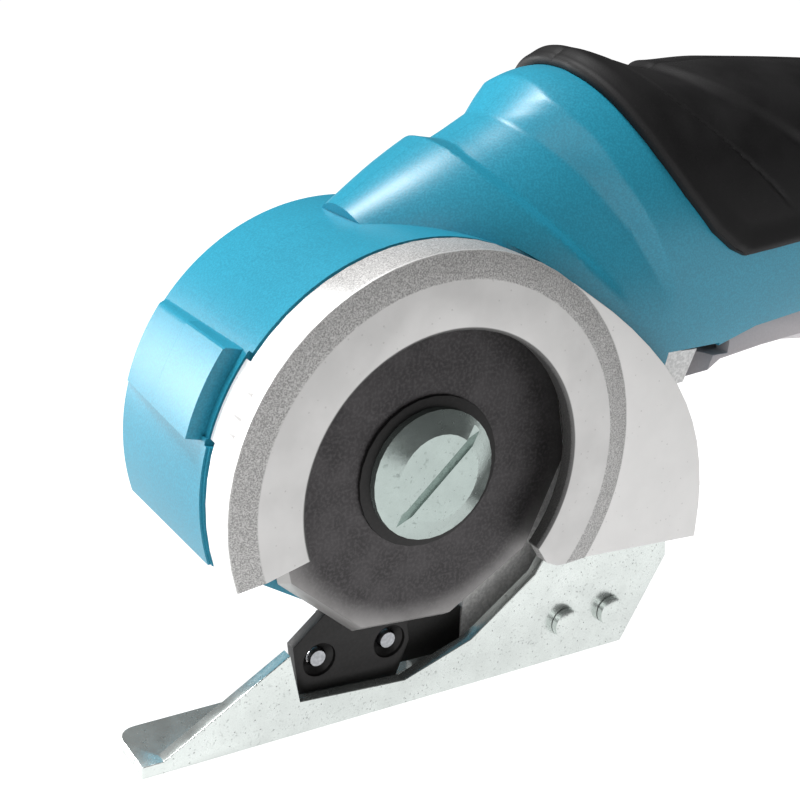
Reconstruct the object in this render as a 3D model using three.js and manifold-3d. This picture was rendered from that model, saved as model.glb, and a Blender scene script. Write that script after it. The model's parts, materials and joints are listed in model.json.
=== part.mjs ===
// Cordless rotary multi-cutter: a ten-sided rotary blade shears sheet material against a fixed blade
// on a slim shoe. Millimetres, +Z up, -X is the cutting end, +X the battery end, -Y the blade side.
// The origin lies in the cutting plane, on the underside of the shoe, below the blade's axis.

import * as THREE from 'three';
import { mergeVertices } from 'three/addons/utils/BufferGeometryUtils.js';
import Module from 'manifold-3d';

const wasm = await Module();
wasm.setup();

// ---------------------------------------------------------------- driving dimensions

const AXIS_Z = 39.6;            // height of the blade's axis above the shoe's underside
const MID_Y = 18;               // parting plane of the housing halves

const BLADE_SIDES = 10;
const BLADE_R = 27.5;           // corner radius of the cutting face, a 55 mm blade
const BLADE_T = 2;
const BLADE_BEVEL = 1.5;
const BLADE_PHASE = 32;         // direction of one corner from +X towards +Z, in degrees
const BORE_R = 3.2;

const GUARD = { hole: 23.15, face: 30.4, rim: 34.6, front: -7.2, bevel: -6.35, back: 0.6 };
const GUARD_WALL = 2.4;
const LUG = { r: 36, from: 145, to: 165 };

const DRUM = { r: 34.6, near: 1.3, far: 31, wall: 2.5, chamfer: 4 };
const BAND = { r: 37.2, from: 143.5, to: 166.5, near: 3.8 };
const WALL = 2.4;

const MODULE = 1.5;             // spur pair
const SPUR = { wheel: 30, pinion: 21, near: 6.4, far: 10.4 };
const IDLER_X = 28;
const SPUR_CENTRES = (SPUR.wheel + SPUR.pinion) * MODULE / 2;
const DRIVE_Z = AXIS_Z + Math.sqrt(SPUR_CENTRES ** 2 - IDLER_X ** 2);
const BEVEL = { wheel: 30, pinion: 10, module: 1.2, face: 5 };
const SUN = { teeth: 12, planet: 15, ring: 42, module: 0.65, from: 55, to: 63 };

const MOTOR = { r: 14, from: 71, to: 122, shaft: 1.6 };
const LEVER = { x: 67, z: 58.3, halfWidth: 15.5, front: 57.8, rear: 178, floor: 2.4 };
const LEVER_EDGE = { width: 5, rise: 2.8 };   // the chamfer along the lever's lower edges
const BATTERY = { front: 222, rear: 266, halfWidth: 25, low: 14, high: 91 };
const TONGUE = { front: 216, neck: 219, wide: 16, narrow: 13.4, low: 18, high: 79 };

const TEAL = { color: 0x3ea5c8, roughness: 0.5, metalness: 0 };
const RUBBER = { color: 0x1c1b1b, roughness: 0.8, metalness: 0 };
const CAST = { color: 0xbcbcbe, roughness: 0.45, metalness: 0.8 };
const ZINC = { color: 0xd8dcda, roughness: 0.3, metalness: 0.95 };
const TOOL_STEEL = { color: 0x6e6b6a, roughness: 0.42, metalness: 0.9 };
const BLACK_OXIDE = { color: 0x2b2a29, roughness: 0.5, metalness: 0.7 };
const STEEL = { color: 0x9a9da1, roughness: 0.35, metalness: 1 };
const PLASTIC_GREY = { color: 0xb2ada9, roughness: 0.5, metalness: 0 };
const PLASTIC_BLACK = { color: 0x202124, roughness: 0.55, metalness: 0 };
const COPPER = { color: 0xb0693a, roughness: 0.4, metalness: 0.9 };
const CELL_WRAP = { color: 0x4a8f6a, roughness: 0.4, metalness: 0 };

// ---------------------------------------------------------------- helpers

const rad = THREE.MathUtils.degToRad;

function signedVolume(geometry) {
  const at = geometry.attributes.position;
  const index = geometry.index;
  const corner = [new THREE.Vector3(), new THREE.Vector3(), new THREE.Vector3()];
  let volume = 0;
  for (let i = 0; i < index.count; i += 3) {
    corner.forEach((v, k) => v.fromBufferAttribute(at, index.getX(i + k)));
    volume += corner[0].dot(corner[1].clone().cross(corner[2])) / 6;
  }
  return volume;
}

// Merges shared corners and turns the faces outwards.
function closed(geometry) {
  geometry.deleteAttribute('normal');
  geometry.deleteAttribute('uv');
  const merged = mergeVertices(geometry, 1e-4);
  if (signedVolume(merged) < 0) {
    const index = merged.index;
    for (let i = 0; i < index.count; i += 3) {
      const keep = index.getX(i);
      index.setX(i, index.getX(i + 1));
      index.setX(i + 1, keep);
    }
  }
  return merged;
}

function solid(geometry) {
  const merged = closed(geometry);
  return new wasm.Manifold(new wasm.Mesh({
    numProp: 3,
    vertProperties: new Float32Array(merged.attributes.position.array),
    triVerts: new Uint32Array(merged.index.array),
  }));
}

function geometryOf(manifold) {
  const mesh = manifold.getMesh();
  const geometry = new THREE.BufferGeometry();
  geometry.setAttribute('position', new THREE.BufferAttribute(mesh.vertProperties, 3));
  geometry.setIndex(new THREE.BufferAttribute(mesh.triVerts, 1));
  return geometry;
}

function joined(parts) {
  return parts.reduce((sum, part) => sum.add(part));
}

// A plate whose outline is given in X and Z, from y = near to y = far.
function plate(outline, near, far, holes = []) {
  const shape = new THREE.Shape(outline.map(([x, z]) => new THREE.Vector2(x, z)));
  for (const hole of holes) {
    const path = new THREE.Path(hole.map(([x, z]) => new THREE.Vector2(x, z)));
    shape.holes.push(path);
  }
  const options = { depth: far - near, bevelEnabled: false };
  const geometry = new THREE.ExtrudeGeometry(shape, options);
  geometry.rotateX(Math.PI / 2).translate(0, far, 0);
  return solid(geometry);
}

// A body of revolution about a line along Y; profile points are [radius, y].
function turnedY(profile, segments, x = 0, z = 0) {
  const points = profile.map(([r, y]) => new THREE.Vector2(r, y));
  return solid(new THREE.LatheGeometry(points, segments).translate(x, 0, z));
}

// A body of revolution about a line along X; profile points are [radius, x].
function turnedX(profile, segments, y = MID_Y, z = DRIVE_Z) {
  const points = profile.map(([r, x]) => new THREE.Vector2(r, x));
  const geometry = new THREE.LatheGeometry(points, segments);
  return solid(geometry.rotateZ(-Math.PI / 2).translate(0, y, z));
}

function discY(r, near, far, segments, x = 0, z = 0) {
  return turnedY([[0, near], [r, near], [r, far], [0, far]], segments, x, z);
}

function ringY(inner, outer, near, far, segments, x = 0, z = 0) {
  return turnedY([[inner, near], [outer, near], [outer, far], [inner, far], [inner, near]],
    segments, x, z);
}

function discX(r, from, to, segments, y, z) {
  return turnedX([[0, from], [r, from], [r, to], [0, to]], segments, y, z);
}

function ringX(inner, outer, from, to, segments, y, z) {
  return turnedX([[inner, from], [outer, from], [outer, to], [inner, to], [inner, from]],
    segments, y, z);
}

function block([x0, x1], [y0, y1], [z0, z1]) {
  const geometry = new THREE.BoxGeometry(x1 - x0, y1 - y0, z1 - z0);
  return solid(geometry.translate((x0 + x1) / 2, (y0 + y1) / 2, (z0 + z1) / 2));
}

// Points of an arc in the X-Z plane; angles run from +X towards +Z.
function arc(r, from, to, steps, x = 0, z = AXIS_Z) {
  return Array.from({ length: steps + 1 }, (_, i) => {
    const t = rad(from + (to - from) * i / steps);
    return [x + r * Math.cos(t), z + r * Math.sin(t)];
  });
}

// A closed skin through sections with equal point counts, capped at both ends.
function loft(sections) {
  const count = sections[0].length;
  const middle = (section) => section
    .reduce((sum, point) => sum.add(point), new THREE.Vector3()).divideScalar(count);
  const points = [...sections.flat(), middle(sections[0]), middle(sections.at(-1))];
  const index = [];
  for (let s = 0; s + 1 < sections.length; s += 1) {
    for (let k = 0; k < count; k += 1) {
      const a = s * count + k;
      const b = s * count + (k + 1) % count;
      index.push(a, b, b + count, a, b + count, a + count);
    }
  }
  const last = (sections.length - 1) * count;
  for (let k = 0; k < count; k += 1) {
    const next = (k + 1) % count;
    index.push(next, k, points.length - 2);
    index.push(last + k, last + next, points.length - 1);
  }
  const geometry = new THREE.BufferGeometry().setFromPoints(points);
  geometry.setIndex(index);
  return solid(geometry);
}

const part = new THREE.Group();

function addPart(name, manifold, finish) {
  const mesh = new THREE.Mesh(geometryOf(manifold), new THREE.MeshStandardMaterial(finish));
  mesh.name = name;
  part.add(mesh);
}

// ---------------------------------------------------------------- gear shapes

const PRESSURE = rad(20);
const involute = (angle) => Math.tan(angle) - angle;

// Half of a tooth's angle at radius r, for a gear of this pitch radius.
function toothHalfAngle(teeth, pitchR, r, slack) {
  const flank = Math.acos(Math.min(1, pitchR * Math.cos(PRESSURE) / r));
  return Math.PI / (2 * teeth) - slack / (2 * pitchR) + involute(PRESSURE) - involute(flank);
}

// Tooth corners as [angle, height above the pitch circle], with a tooth centred on angle 0.
function gearCorners(teeth, module, { tip = 0.8, root = 1.1, slack = 0.16, cone = 0 } = {}) {
  const pitchR = teeth * module / 2;
  const virtualR = pitchR / Math.cos(cone);
  const virtualTeeth = teeth / Math.cos(cone);
  const corners = [];
  for (let k = 0; k < teeth; k += 1) {
    const centre = 2 * Math.PI * k / teeth;
    for (const [side, h] of [[-1, -root], [-1, tip], [1, tip], [1, -root]]) {
      const height = h * module;
      const half = toothHalfAngle(virtualTeeth, virtualR, virtualR + height, slack);
      const arcLength = half * (virtualR + height);
      corners.push([centre + side * arcLength / (pitchR + height * Math.cos(cone)), height]);
    }
  }
  return corners;
}

function gearOutline(teeth, module, phase, x, z, options) {
  const pitchR = teeth * module / 2;
  return gearCorners(teeth, module, options).map(([angle, height]) => {
    const t = angle + phase;
    return [x + (pitchR + height) * Math.cos(t), z + (pitchR + height) * Math.sin(t)];
  });
}

// A spur gear about a line along X at y, z; its outline turns from +Y towards +Z.
function gearX(teeth, module, phase, from, to, y, z, options) {
  const outline = gearOutline(teeth, module, phase, y, z, options);
  const shape = new THREE.Shape(outline.map(([u, v]) => new THREE.Vector2(u, v)));
  const geometry = new THREE.ExtrudeGeometry(shape, { depth: to - from, bevelEnabled: false });
  const turn = new THREE.Matrix4().makeBasis(
    new THREE.Vector3(0, 1, 0), new THREE.Vector3(0, 0, 1), new THREE.Vector3(1, 0, 0));
  return solid(geometry.applyMatrix4(turn).translate(from, 0, 0));
}

// A bevel gear with its apex at the origin and its axis along +Z.
function bevelGear(teeth, mate, module, face, phase) {
  const cone = Math.atan2(teeth, mate);
  const pitchR = teeth * module / 2;
  const depth = mate * module / 2;
  const small = 1 - face / Math.hypot(pitchR, depth);
  const corners = gearCorners(teeth, module, { cone, slack: 0.2 });
  const end = (scale) => corners.map(([angle, height]) => {
    const r = pitchR + height * Math.cos(cone);
    const along = depth - height * Math.sin(cone);
    const t = angle + phase;
    return new THREE.Vector3(r * Math.cos(t), r * Math.sin(t), along).multiplyScalar(scale);
  });
  return { sections: [end(small), end(1)], cone };
}

// ---------------------------------------------------------------- cutting head

function rotaryBlade() {
  const profile = [[BORE_R, -BLADE_T], [BLADE_R - BLADE_BEVEL, -BLADE_T], [BLADE_R, 0],
    [BORE_R, 0], [BORE_R, -BLADE_T]].map(([r, y]) => new THREE.Vector2(r, y));
  const start = rad(90 - BLADE_PHASE);
  const geometry = new THREE.LatheGeometry(profile, BLADE_SIDES, start);
  return solid(geometry.translate(0, 0, AXIS_Z));
}

function bladeBolt() {
  const profile = [[0, -5.3], [6.9, -5.3], [10.3, -3.9], [10.3, -2.7], [2.95, -2.7],
    [2.95, 12], [0, 12]];
  const slot = block([-12, 12], [-6, -4.2], [-0.75, 0.75]);
  const turned = slot.rotate([0, -44, 0]).translate([0, 0, AXIS_Z]);
  return turnedY(profile, 32, 0, AXIS_Z).subtract(turned);
}

function spindle() {
  return turnedY([[0, 12.5], [3.1, 12.5], [3.1, 0.2], [4, 0.2], [4, 24.6], [0, 24.6]],
    24, 0, AXIS_Z);
}

function lowerCut(raise) {
  const line = [[-60, 29.5], [-33.1, 29.5], [-16.5, 17.4], [-6, 12.4], [6, 12.4], [14, 18.6],
    [30, 20], [46, 26]];
  return plate([...line.map(([x, z]) => [x, z + raise]), [46, -5], [-60, -5]], -20, 60);
}

function guardCover() {
  const { hole, face, rim, front, bevel, back } = GUARD;
  const inner = front + GUARD_WALL;
  const ring = turnedY([[hole, front + 0.4], [hole + 0.4, front], [face, front], [rim, bevel],
    [rim, back], [rim - 2.6, back], [rim - 2.6, inner], [hole, inner], [hole, front + 0.4]],
  60, 0, AXIS_Z);
  const lug = plate([...arc(LUG.r, LUG.from, LUG.to, 5), ...arc(rim - 1, LUG.to, LUG.from, 5)],
    -4, back + 1.2);
  const wingEdge = new THREE.SplineCurve([[20.8, 67.4], [32.4, 59.7], [43.2, 49.9], [49.8, 39.8],
    [52.9, 29], [53.3, 19.4]].map(([x, z]) => new THREE.Vector2(x, z)));
  const wing = plate([...wingEdge.getPoints(14).map((p) => [p.x, p.y]), [22.7, 21.3], [12, 50]],
    front + 1, front + 1 + GUARD_WALL);
  const opening = discY(hole, front - 2, inner + 1, 60, 0, AXIS_Z);
  const rimHollow = discY(rim - 2.6, inner, back + 1, 60, 0, AXIS_Z);
  const cut = plate([[-21.1, 32.1], [-36, 27.8], [-36, -10], [60, -10], [60, 19.5], [22.7, 21.3],
    [20.5, 22.3], [17.9, 26.1], [0, AXIS_Z]], front - 2, back + 3);
  const shoeRoom = block([20, 42], [-2.6, 3], [0, 32]);
  const body = ring.add(wing.subtract(opening).subtract(rimHollow)).add(lug);
  return body.subtract(cut).subtract(shoeRoom);
}

const FOOT = [[12, 4], [48, 4], [48, 22], [34, 36], [12, 36]];

function gearCase() {
  const disc = plate(arc(31, -75, 285, 48), 2.3, 5).subtract(lowerCut(2));
  const arm = plate([[-4, 56], [16, 76], [40, 70], [51, 55], [54, 49.5], [50, 43.6], [28, 24]], 3.2, 5);
  const lug = plate([[46, 43.5], [55, 44.3], [57.2, 50], [46, 50]], 3.2, 11);
  const foot = plate(FOOT, 2.3, 5);
  const bearingBoss = discY(12, 2.3, 5.9, 24, 0, AXIS_Z);
  const idlerBoss = discY(7.5, 3.8, 5.9, 20, IDLER_X, DRIVE_Z);
  const bores = discY(9.6, 1, 8, 24, 0, AXIS_Z).add(discY(5.1, 1, 8, 20, IDLER_X, DRIVE_Z));
  const cavity = drum(-DRUM.wall - 0.4, -20, 20, 0).add(bodyLoft(-WALL - 0.4));
  const inside = joined([disc, arm, bearingBoss, idlerBoss]).intersect(cavity);
  return joined([inside, lug, foot]).subtract(bores);
}

// ---------------------------------------------------------------- shoe and fixed blade

function shoe() {
  const wall = plate([[-44.9, 0], [43.2, 0], [51.2, 14.8], [50, 23], [26, 23], [22.7, 17.3],
    [10.7, 8.3], [-1.3, 4.3], [-19.9, 5.6], [-21.9, 14]], -2.2, -0.2);
  const soleOutline = new THREE.Shape();
  soleOutline.moveTo(-44.9, -2.2);
  soleOutline.lineTo(43.2, -2.2);
  soleOutline.lineTo(43.2, 8.1);
  soleOutline.lineTo(-41.9, 8.1);
  soleOutline.quadraticCurveTo(-44.6, 8.1, -44.9, 5.1);
  soleOutline.closePath();
  const options = { depth: 2, bevelEnabled: false, curveSegments: 5 };
  const sole = solid(new THREE.ExtrudeGeometry(soleOutline, options));
  const pins = [29.9, 39.6].map((x) => discY(2.1, -4, 1, 16, x, 7));
  return wall.add(sole).subtract(joined(pins));
}

function shoePin(x) {
  return turnedY([[0, -3.7], [2.1, -3.7], [2.5, -3.3], [2.5, -2.25], [2.05, -2.25], [2.05, 2.2],
    [0, 2.2]], 20, x, 7);
}

function fixedBlade() {
  const outline = [[-20.2, 13.5], [-18.8, 4.5], [-1.6, 3.8], [0.5, 9.9], [-0.1, 12.7], [2, 18.5],
    [-14.5, 18.5]];
  const holes = [-15.6, -3.2].map((x) => turnedY([[0, 0.1], [2.8, 0.1], [2.8, 0.75], [1.6, 1.4],
    [1.6, 3], [0, 3]], 20, x, 10.4));
  return plate(outline, 0.15, 2.15).subtract(joined(holes));
}

function fixedBladeScrew(x) {
  return turnedY([[0, 0.6], [1.3, 0.6], [1.3, 6.6], [0, 6.6]], 16, x, 10.4);
}

function shoeBracket() {
  const body = plate([[-19, 4.8], [12, 4.2], [11.7, 11.8], [-5.9, 11.8], [-12.6, 14.8]], 2.45, 6.9);
  const bridge = plate([[5, 2.3], [44, 2.3], [47, 14], [30, 20], [11.7, 11.9], [5, 12]], 5.3, 6.9);
  const holes = [-15.6, -3.2].map((x) => discY(1.45, 2, 8, 16, x, 10.4));
  return body.add(bridge).subtract(joined(holes));
}

// ---------------------------------------------------------------- gear train

// Turns about a line along Y that make the teeth of two wheels meet on their line of centres.
const SPUR_LINE = Math.atan2(DRIVE_Z - AXIS_Z, IDLER_X);

function matingPhase(direction, teeth, mateTeeth) {
  const matePhase = direction * mateTeeth / (2 * Math.PI);
  return direction + Math.PI - (0.5 - matePhase) * 2 * Math.PI / teeth;
}

function spindleGear() {
  const outline = gearOutline(SPUR.wheel, MODULE, 0, 0, AXIS_Z);
  return plate(outline, SPUR.near, SPUR.far).subtract(discY(4.08, 0, 20, 24, 0, AXIS_Z));
}

function idlerPinion() {
  const phase = matingPhase(SPUR_LINE, SPUR.pinion, SPUR.wheel);
  const outline = gearOutline(SPUR.pinion, MODULE, phase, IDLER_X, DRIVE_Z);
  return plate(outline, SPUR.near, SPUR.far).subtract(discY(3.08, 0, 20, 20, IDLER_X, DRIVE_Z));
}

function idlerShaft() {
  return discY(3, 3.8, 33, 20, IDLER_X, DRIVE_Z);
}

// The wheel's teeth point at the drive pinion: a gap of the wheel lies on +X.
function bevelWheel() {
  const phase = Math.PI / BEVEL.wheel;
  const { sections } = bevelGear(BEVEL.wheel, BEVEL.pinion, BEVEL.module, BEVEL.face, phase);
  const toY = new THREE.Matrix4().makeBasis(
    new THREE.Vector3(1, 0, 0), new THREE.Vector3(0, 0, -1), new THREE.Vector3(0, 1, 0));
  const placed = sections.map((section) => section.map((point) => point.applyMatrix4(toY)
    .add(new THREE.Vector3(IDLER_X, MID_Y, DRIVE_Z))));
  const hub = discY(7, 23.5, 29, 24, IDLER_X, DRIVE_Z);
  return loft(placed).add(hub).subtract(discY(3.08, 0, 40, 20, IDLER_X, DRIVE_Z));
}

function bevelPinion() {
  const { sections } = bevelGear(BEVEL.pinion, BEVEL.wheel, BEVEL.module, BEVEL.face, 0);
  const toX = new THREE.Matrix4().makeBasis(
    new THREE.Vector3(0, 1, 0), new THREE.Vector3(0, 0, 1), new THREE.Vector3(1, 0, 0));
  const placed = sections.map((section) => section.map((point) => point.applyMatrix4(toX)
    .add(new THREE.Vector3(IDLER_X, MID_Y, DRIVE_Z))));
  return loft(placed).subtract(discX(2.08, 30, 60, 20, MID_Y, DRIVE_Z));
}

const PLANET_ORBIT = (SUN.teeth + SUN.planet) * SUN.module / 2;
const PLANET_ANGLES = [90, 210, 330].map(rad);

function planetCentre(angle) {
  return [MID_Y + PLANET_ORBIT * Math.cos(angle), DRIVE_Z + PLANET_ORBIT * Math.sin(angle)];
}

function planet(angle) {
  const phase = matingPhase(angle, SUN.planet, SUN.teeth);
  const [y, z] = planetCentre(angle);
  return gearX(SUN.planet, SUN.module, phase, SUN.from + 0.3, SUN.to - 0.3, y, z, { slack: 0.1 })
    .subtract(discX(1.35, SUN.from - 1, SUN.to + 1, 14, y, z));
}

function ringGear() {
  const planetPhase = matingPhase(PLANET_ANGLES[0], SUN.planet, SUN.teeth);
  const direction = PLANET_ANGLES[0];
  const phase = direction - (direction - planetPhase) * SUN.planet / SUN.ring;
  const teeth = gearX(SUN.ring, SUN.module, phase, SUN.from - 2, SUN.to + 2, MID_Y, DRIVE_Z,
    { tip: 1.1, root: 0.8, slack: -0.1 });
  return discX(16.6, SUN.from, SUN.to, 36, MID_Y, DRIVE_Z).subtract(teeth);
}

function planetCarrier() {
  const shaft = discX(2, 38.5, 51, 20, MID_Y, DRIVE_Z);
  const disc = discX(12, 50.9, 54.4, 32, MID_Y, DRIVE_Z);
  const pins = PLANET_ANGLES.map((angle) => discX(1.25, 54.3, SUN.to - 0.5, 12,
    ...planetCentre(angle)));
  return joined([shaft, disc, ...pins]);
}

// ---------------------------------------------------------------- motor

// The shaft ends in the sun pinion.
function motorShaft() {
  const pinion = gearX(SUN.teeth, SUN.module, 0, SUN.from + 0.3, SUN.to + 0.2, MID_Y, DRIVE_Z,
    { slack: 0.1 });
  return discX(MOTOR.shaft, SUN.to, MOTOR.to + 1, 16, MID_Y, DRIVE_Z).add(pinion);
}

function motorCan() {
  const { r, from, to } = MOTOR;
  return turnedX([[3.2, from], [r, from], [r, to], [r - 1.6, to], [r - 1.6, from + 1.6],
    [3.2, from + 1.6], [3.2, from]], 32);
}

function magnet(side) {
  const outer = arc(12.2, -62, 62, 8, 0, 0);
  const inner = arc(10, 62, -62, 8, 0, 0);
  const shape = new THREE.Shape([...outer, ...inner].map(([u, v]) => new THREE.Vector2(u, v)));
  const geometry = new THREE.ExtrudeGeometry(shape, { depth: 34, bevelEnabled: false });
  const turn = new THREE.Matrix4().makeBasis(
    new THREE.Vector3(0, side, 0), new THREE.Vector3(0, 0, side), new THREE.Vector3(1, 0, 0));
  return solid(geometry.applyMatrix4(turn).translate(76, MID_Y, DRIVE_Z));
}

function armature() {
  const core = gearX(9, 1.8, 0, 78, 108, MID_Y, DRIVE_Z, { tip: 0.7, root: 1.6, slack: -2 });
  return core.subtract(discX(MOTOR.shaft + 0.05, 60, 130, 16, MID_Y, DRIVE_Z));
}

function commutator() {
  return ringX(MOTOR.shaft + 0.05, 4.2, 110, 118, 24, MID_Y, DRIVE_Z);
}

function motorEndCap() {
  const cap = turnedX([[2, MOTOR.to + 0.3], [MOTOR.r, MOTOR.to + 0.3], [MOTOR.r, MOTOR.to + 3],
    [6, MOTOR.to + 5], [2, MOTOR.to + 5], [2, MOTOR.to + 0.3]], 24);
  return cap;
}

function brush(side) {
  const inner = DRIVE_Z + side * 4.4;
  const outer = DRIVE_Z + side * 11.5;
  return block([111.5, 116.5], [MID_Y - 2, MID_Y + 2], [Math.min(inner, outer), Math.max(inner, outer)]);
}

// ---------------------------------------------------------------- housing

// Barrel and grip stations: centre x and z, half height, half width, forward lean, squareness.
const STATIONS = [
  [8, 46.6, 31.8, 14, 26, 2.2],
  [19, 51.8, 33.4, 18.4, 28, 2.2],
  [30, 57, 34.2, 20.4, 29, 2.2],
  [45.5, 64.7, 33.8, 21.2, 28.5, 2.2],
  [61, 67.2, 30.2, 21.2, 30, 2.25],
  [84.5, 69.4, 25.6, 20.4, 24, 2.3],
  [110, 69.6, 22.5, 19.6, 12, 2.3],
  [140, 68.6, 21.8, 19, 4, 2.3],
  [172, 66.4, 21.8, 18.8, 0, 2.4],
  [196, 62.6, 24.4, 19.8, 0, 2.8],
  [210, 56.6, 33.4, 23.6, 0, 4],
  [221.5, 52.5, 38.5, 25, 0, 5],
];
const SECTION_POINTS = 24;

function stationSection([x, z, height, width, lean, power], grow) {
  const up = new THREE.Vector3(-Math.sin(rad(lean)), 0, Math.cos(rad(lean)));
  const rounded = (value) => Math.sign(value) * Math.abs(value) ** (2 / power);
  return Array.from({ length: SECTION_POINTS }, (_, k) => {
    const t = 2 * Math.PI * (k + 0.5) / SECTION_POINTS;
    const point = up.clone().multiplyScalar((height + grow) * rounded(Math.sin(t)));
    return point.add(new THREE.Vector3(x, MID_Y + (width + grow) * rounded(Math.cos(t)), z));
  });
}

function bodyLoft(grow, last = STATIONS.length) {
  return loft(STATIONS.slice(0, last).map((station) => stationSection(station, grow)));
}

function drum(grow, near, far, chamfer) {
  const r = DRUM.r + grow;
  return turnedY([[0, near], [r, near], [r, far - chamfer], [r - chamfer, far], [0, far]],
    48, 0, AXIS_Z);
}

function batteryTongueSlot(clearance) {
  const [low, high] = [-10, TONGUE.high + clearance + 0.5];
  const wide = TONGUE.wide + clearance;
  const narrow = TONGUE.narrow + clearance;
  return block([TONGUE.front - clearance, TONGUE.neck], [MID_Y - wide, MID_Y + wide], [low, high])
    .add(block([TONGUE.neck - 1, BATTERY.front + 2], [MID_Y - narrow, MID_Y + narrow], [low, high]));
}

const SCREWS = [[58, 88], [133, 82], [182, 77], [207, 37]];

function screwBoss([x, z]) {
  return discY(3.4, 0, 36, 14, x, z);
}

function screwHole([x, z]) {
  return turnedY([[0, 6], [1.35, 6], [1.35, 29.8], [3.3, 29.8], [3.3, 60], [0, 60]], 12, x, z);
}

function housingScrew([x, z]) {
  return turnedY([[0, 7], [1.25, 7], [1.25, 30], [2.8, 30], [2.8, 31.4], [2.2, 31.9], [0, 31.9]],
    12, x, z);
}

function housingShell() {
  const band = plate([...arc(BAND.r, BAND.from, BAND.to, 6),
    ...arc(DRUM.r - 2, BAND.to, BAND.from, 6)], BAND.near, DRUM.far - DRUM.chamfer);
  const outer = joined([drum(0, DRUM.near, DRUM.far, DRUM.chamfer), band, bodyLoft(0)])
    .subtract(lowerCut(0));
  const inner = drum(-DRUM.wall, -20, DRUM.far - DRUM.wall, DRUM.chamfer)
    .add(bodyLoft(-WALL, STATIONS.length - 1)).subtract(lowerCut(1.6));
  const bearingSeats = ringY(8.6, 11, 19.5, 30, 24, 0, AXIS_Z)
    .add(ringY(5.6, 7.8, 29.5, 38, 20, IDLER_X, DRIVE_Z));
  const bosses = joined([...SCREWS.map(screwBoss), bearingSeats]).intersect(bodyEnvelope());
  const guardRoom = drum(0.6, -30, DRUM.near, 0);
  const lugNotch = plate([...arc(36.6, BAND.from, BAND.to, 6), ...arc(33, BAND.to, BAND.from, 6)],
    -10, 2.4);
  const bladeRoom = block([-30, 12], [-30, 2.5], [-5, 20]);
  const shoeRoom = block([10, 52], [-30, 1.9], [-5, 30]);
  const footRoom = plate(FOOT.map(([x, z]) => [x + Math.sign(x - 30) * 0.3, z + 0.3]), -20, 5.3);
  const terminalRoom = block([203.7, 216], [MID_Y - 14.3, MID_Y + 14.3], [51.7, 76.3]);
  const slotHalf = LEVER.halfWidth + 0.7;
  const leverSlot = block([LEVER.front - 0.6, LEVER.rear + 2], [MID_Y - slotHalf, MID_Y + slotHalf], [10, 58]);
  const bellyCut = plate([[45, 44], [50.5, 48.8], [55.5, 51.2], [65.5, 54.5], [78.5, 56], [95, 56.6],
    [115, 56], [135, 54], [LEVER.rear + 2, 52], [LEVER.rear + 2, 0], [45, 0]], -20, 60);
  const lugRoom = block([45.5, 57.6], [-8, 11.6], [43, 52.4]);
  const pinHole = discY(2.15, MID_Y - 19.5, MID_Y + 19.5, 16, LEVER.x, LEVER.z);
  const cuts = [guardRoom, lugNotch, bladeRoom, shoeRoom, footRoom, terminalRoom, leverSlot,
    bellyCut, lugRoom, pinHole, batteryTongueSlot(0.5),
    ...SCREWS.map(screwHole)];
  return outer.subtract(inner).add(bosses).subtract(joined(cuts));
}

function bodyEnvelope() {
  return drum(-0.5, DRUM.near, DRUM.far - 0.5, DRUM.chamfer).add(bodyLoft(-0.5));
}

function half(shell, near) {
  const range = near ? [-60, MID_Y] : [MID_Y + 0.05, 100];
  return shell.intersect(block([-100, 400], range, [-100, 300]));
}

function rubberShell() {
  const outline = plate([[22, 101], [26.5, 95.6], [32.5, 89.5], [40, 83], [47, 76.5], [53.5, 70.5],
    [58.5, 66.8], [62, 66.3], [76, 68], [105, 69.4], [150, 68.2], [184, 65.5], [193, 72],
    [193, 110], [22, 110]], -40, 80);
  const far = joined(SCREWS.map((at) => discY(3.6, 20, 60, 16, ...at)));
  return bodyLoft(2).subtract(bodyLoft(0.2)).intersect(outline).subtract(far);
}

// ---------------------------------------------------------------- lever, switch, battery

// The lever's lower line, from its front end to its rear end.
const LEVER_LINE = [[57.2, 43], [63, 45], [72.5, 46.4], [82.5, 47.4], [92, 46.6], [102, 44.8],
  [112, 43], [122, 42], [134, 41.6], [150, 41.5], [166, 40.9], [LEVER.rear, 40.4]];
const LEVER_TOP = [[LEVER.rear, 51.5], [166, 53.5], [150, 55], [134, 56], [120, 56.5], [100, 57.3],
  [80, 58], [66, 57], [58.8, 52.9]];

function leverShell() {
  const outline = [...LEVER_LINE, ...LEVER_TOP].map(([x, z]) => new THREE.Vector2(x, z));
  const { width, rise } = LEVER_EDGE;
  const geometry = new THREE.ExtrudeGeometry(new THREE.Shape(outline), {
    depth: 2 * (LEVER.halfWidth - width), bevelEnabled: true, bevelSegments: 1,
    bevelThickness: width, bevelSize: rise, bevelOffset: -rise });
  geometry.rotateX(Math.PI / 2).translate(0, MID_Y + LEVER.halfWidth - width, 0);
  return solid(geometry);
}

function paddleLever() {
  const inner = LEVER.halfWidth - 2.9;
  const floor = LEVER_LINE.slice(1, -1).map(([x, z]) => [x, z + LEVER.floor]);
  const end = LEVER.rear - 4.5;
  const hollow = [[61.5, 70], [61.5, 46.9], ...floor, [end, 43.1], [end, 70]];
  const space = plate(hollow, MID_Y - inner, MID_Y + inner);
  const arms = [-1, 1].map((side) => {
    const faces = [MID_Y + side * inner, MID_Y + side * (LEVER.halfWidth - 0.4)];
    return block([64.2, 69.8], [Math.min(...faces), Math.max(...faces)], [52, LEVER.z + 2.9]);
  });
  const bore = discY(2.15, -10, 50, 16, LEVER.x, LEVER.z);
  const gearRoom = block([50, 64], [-10, 50], [48.6, 70]);
  const tower = block([148, 152], [MID_Y - 3, MID_Y + 3], [42.5, 50.6]);
  const window = block([131.5, 144.5], [MID_Y - 4.2, MID_Y + 4.2], [30, 60]);
  return joined([leverShell().subtract(space).subtract(gearRoom), ...arms, tower]).subtract(bore).subtract(window);
}

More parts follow.
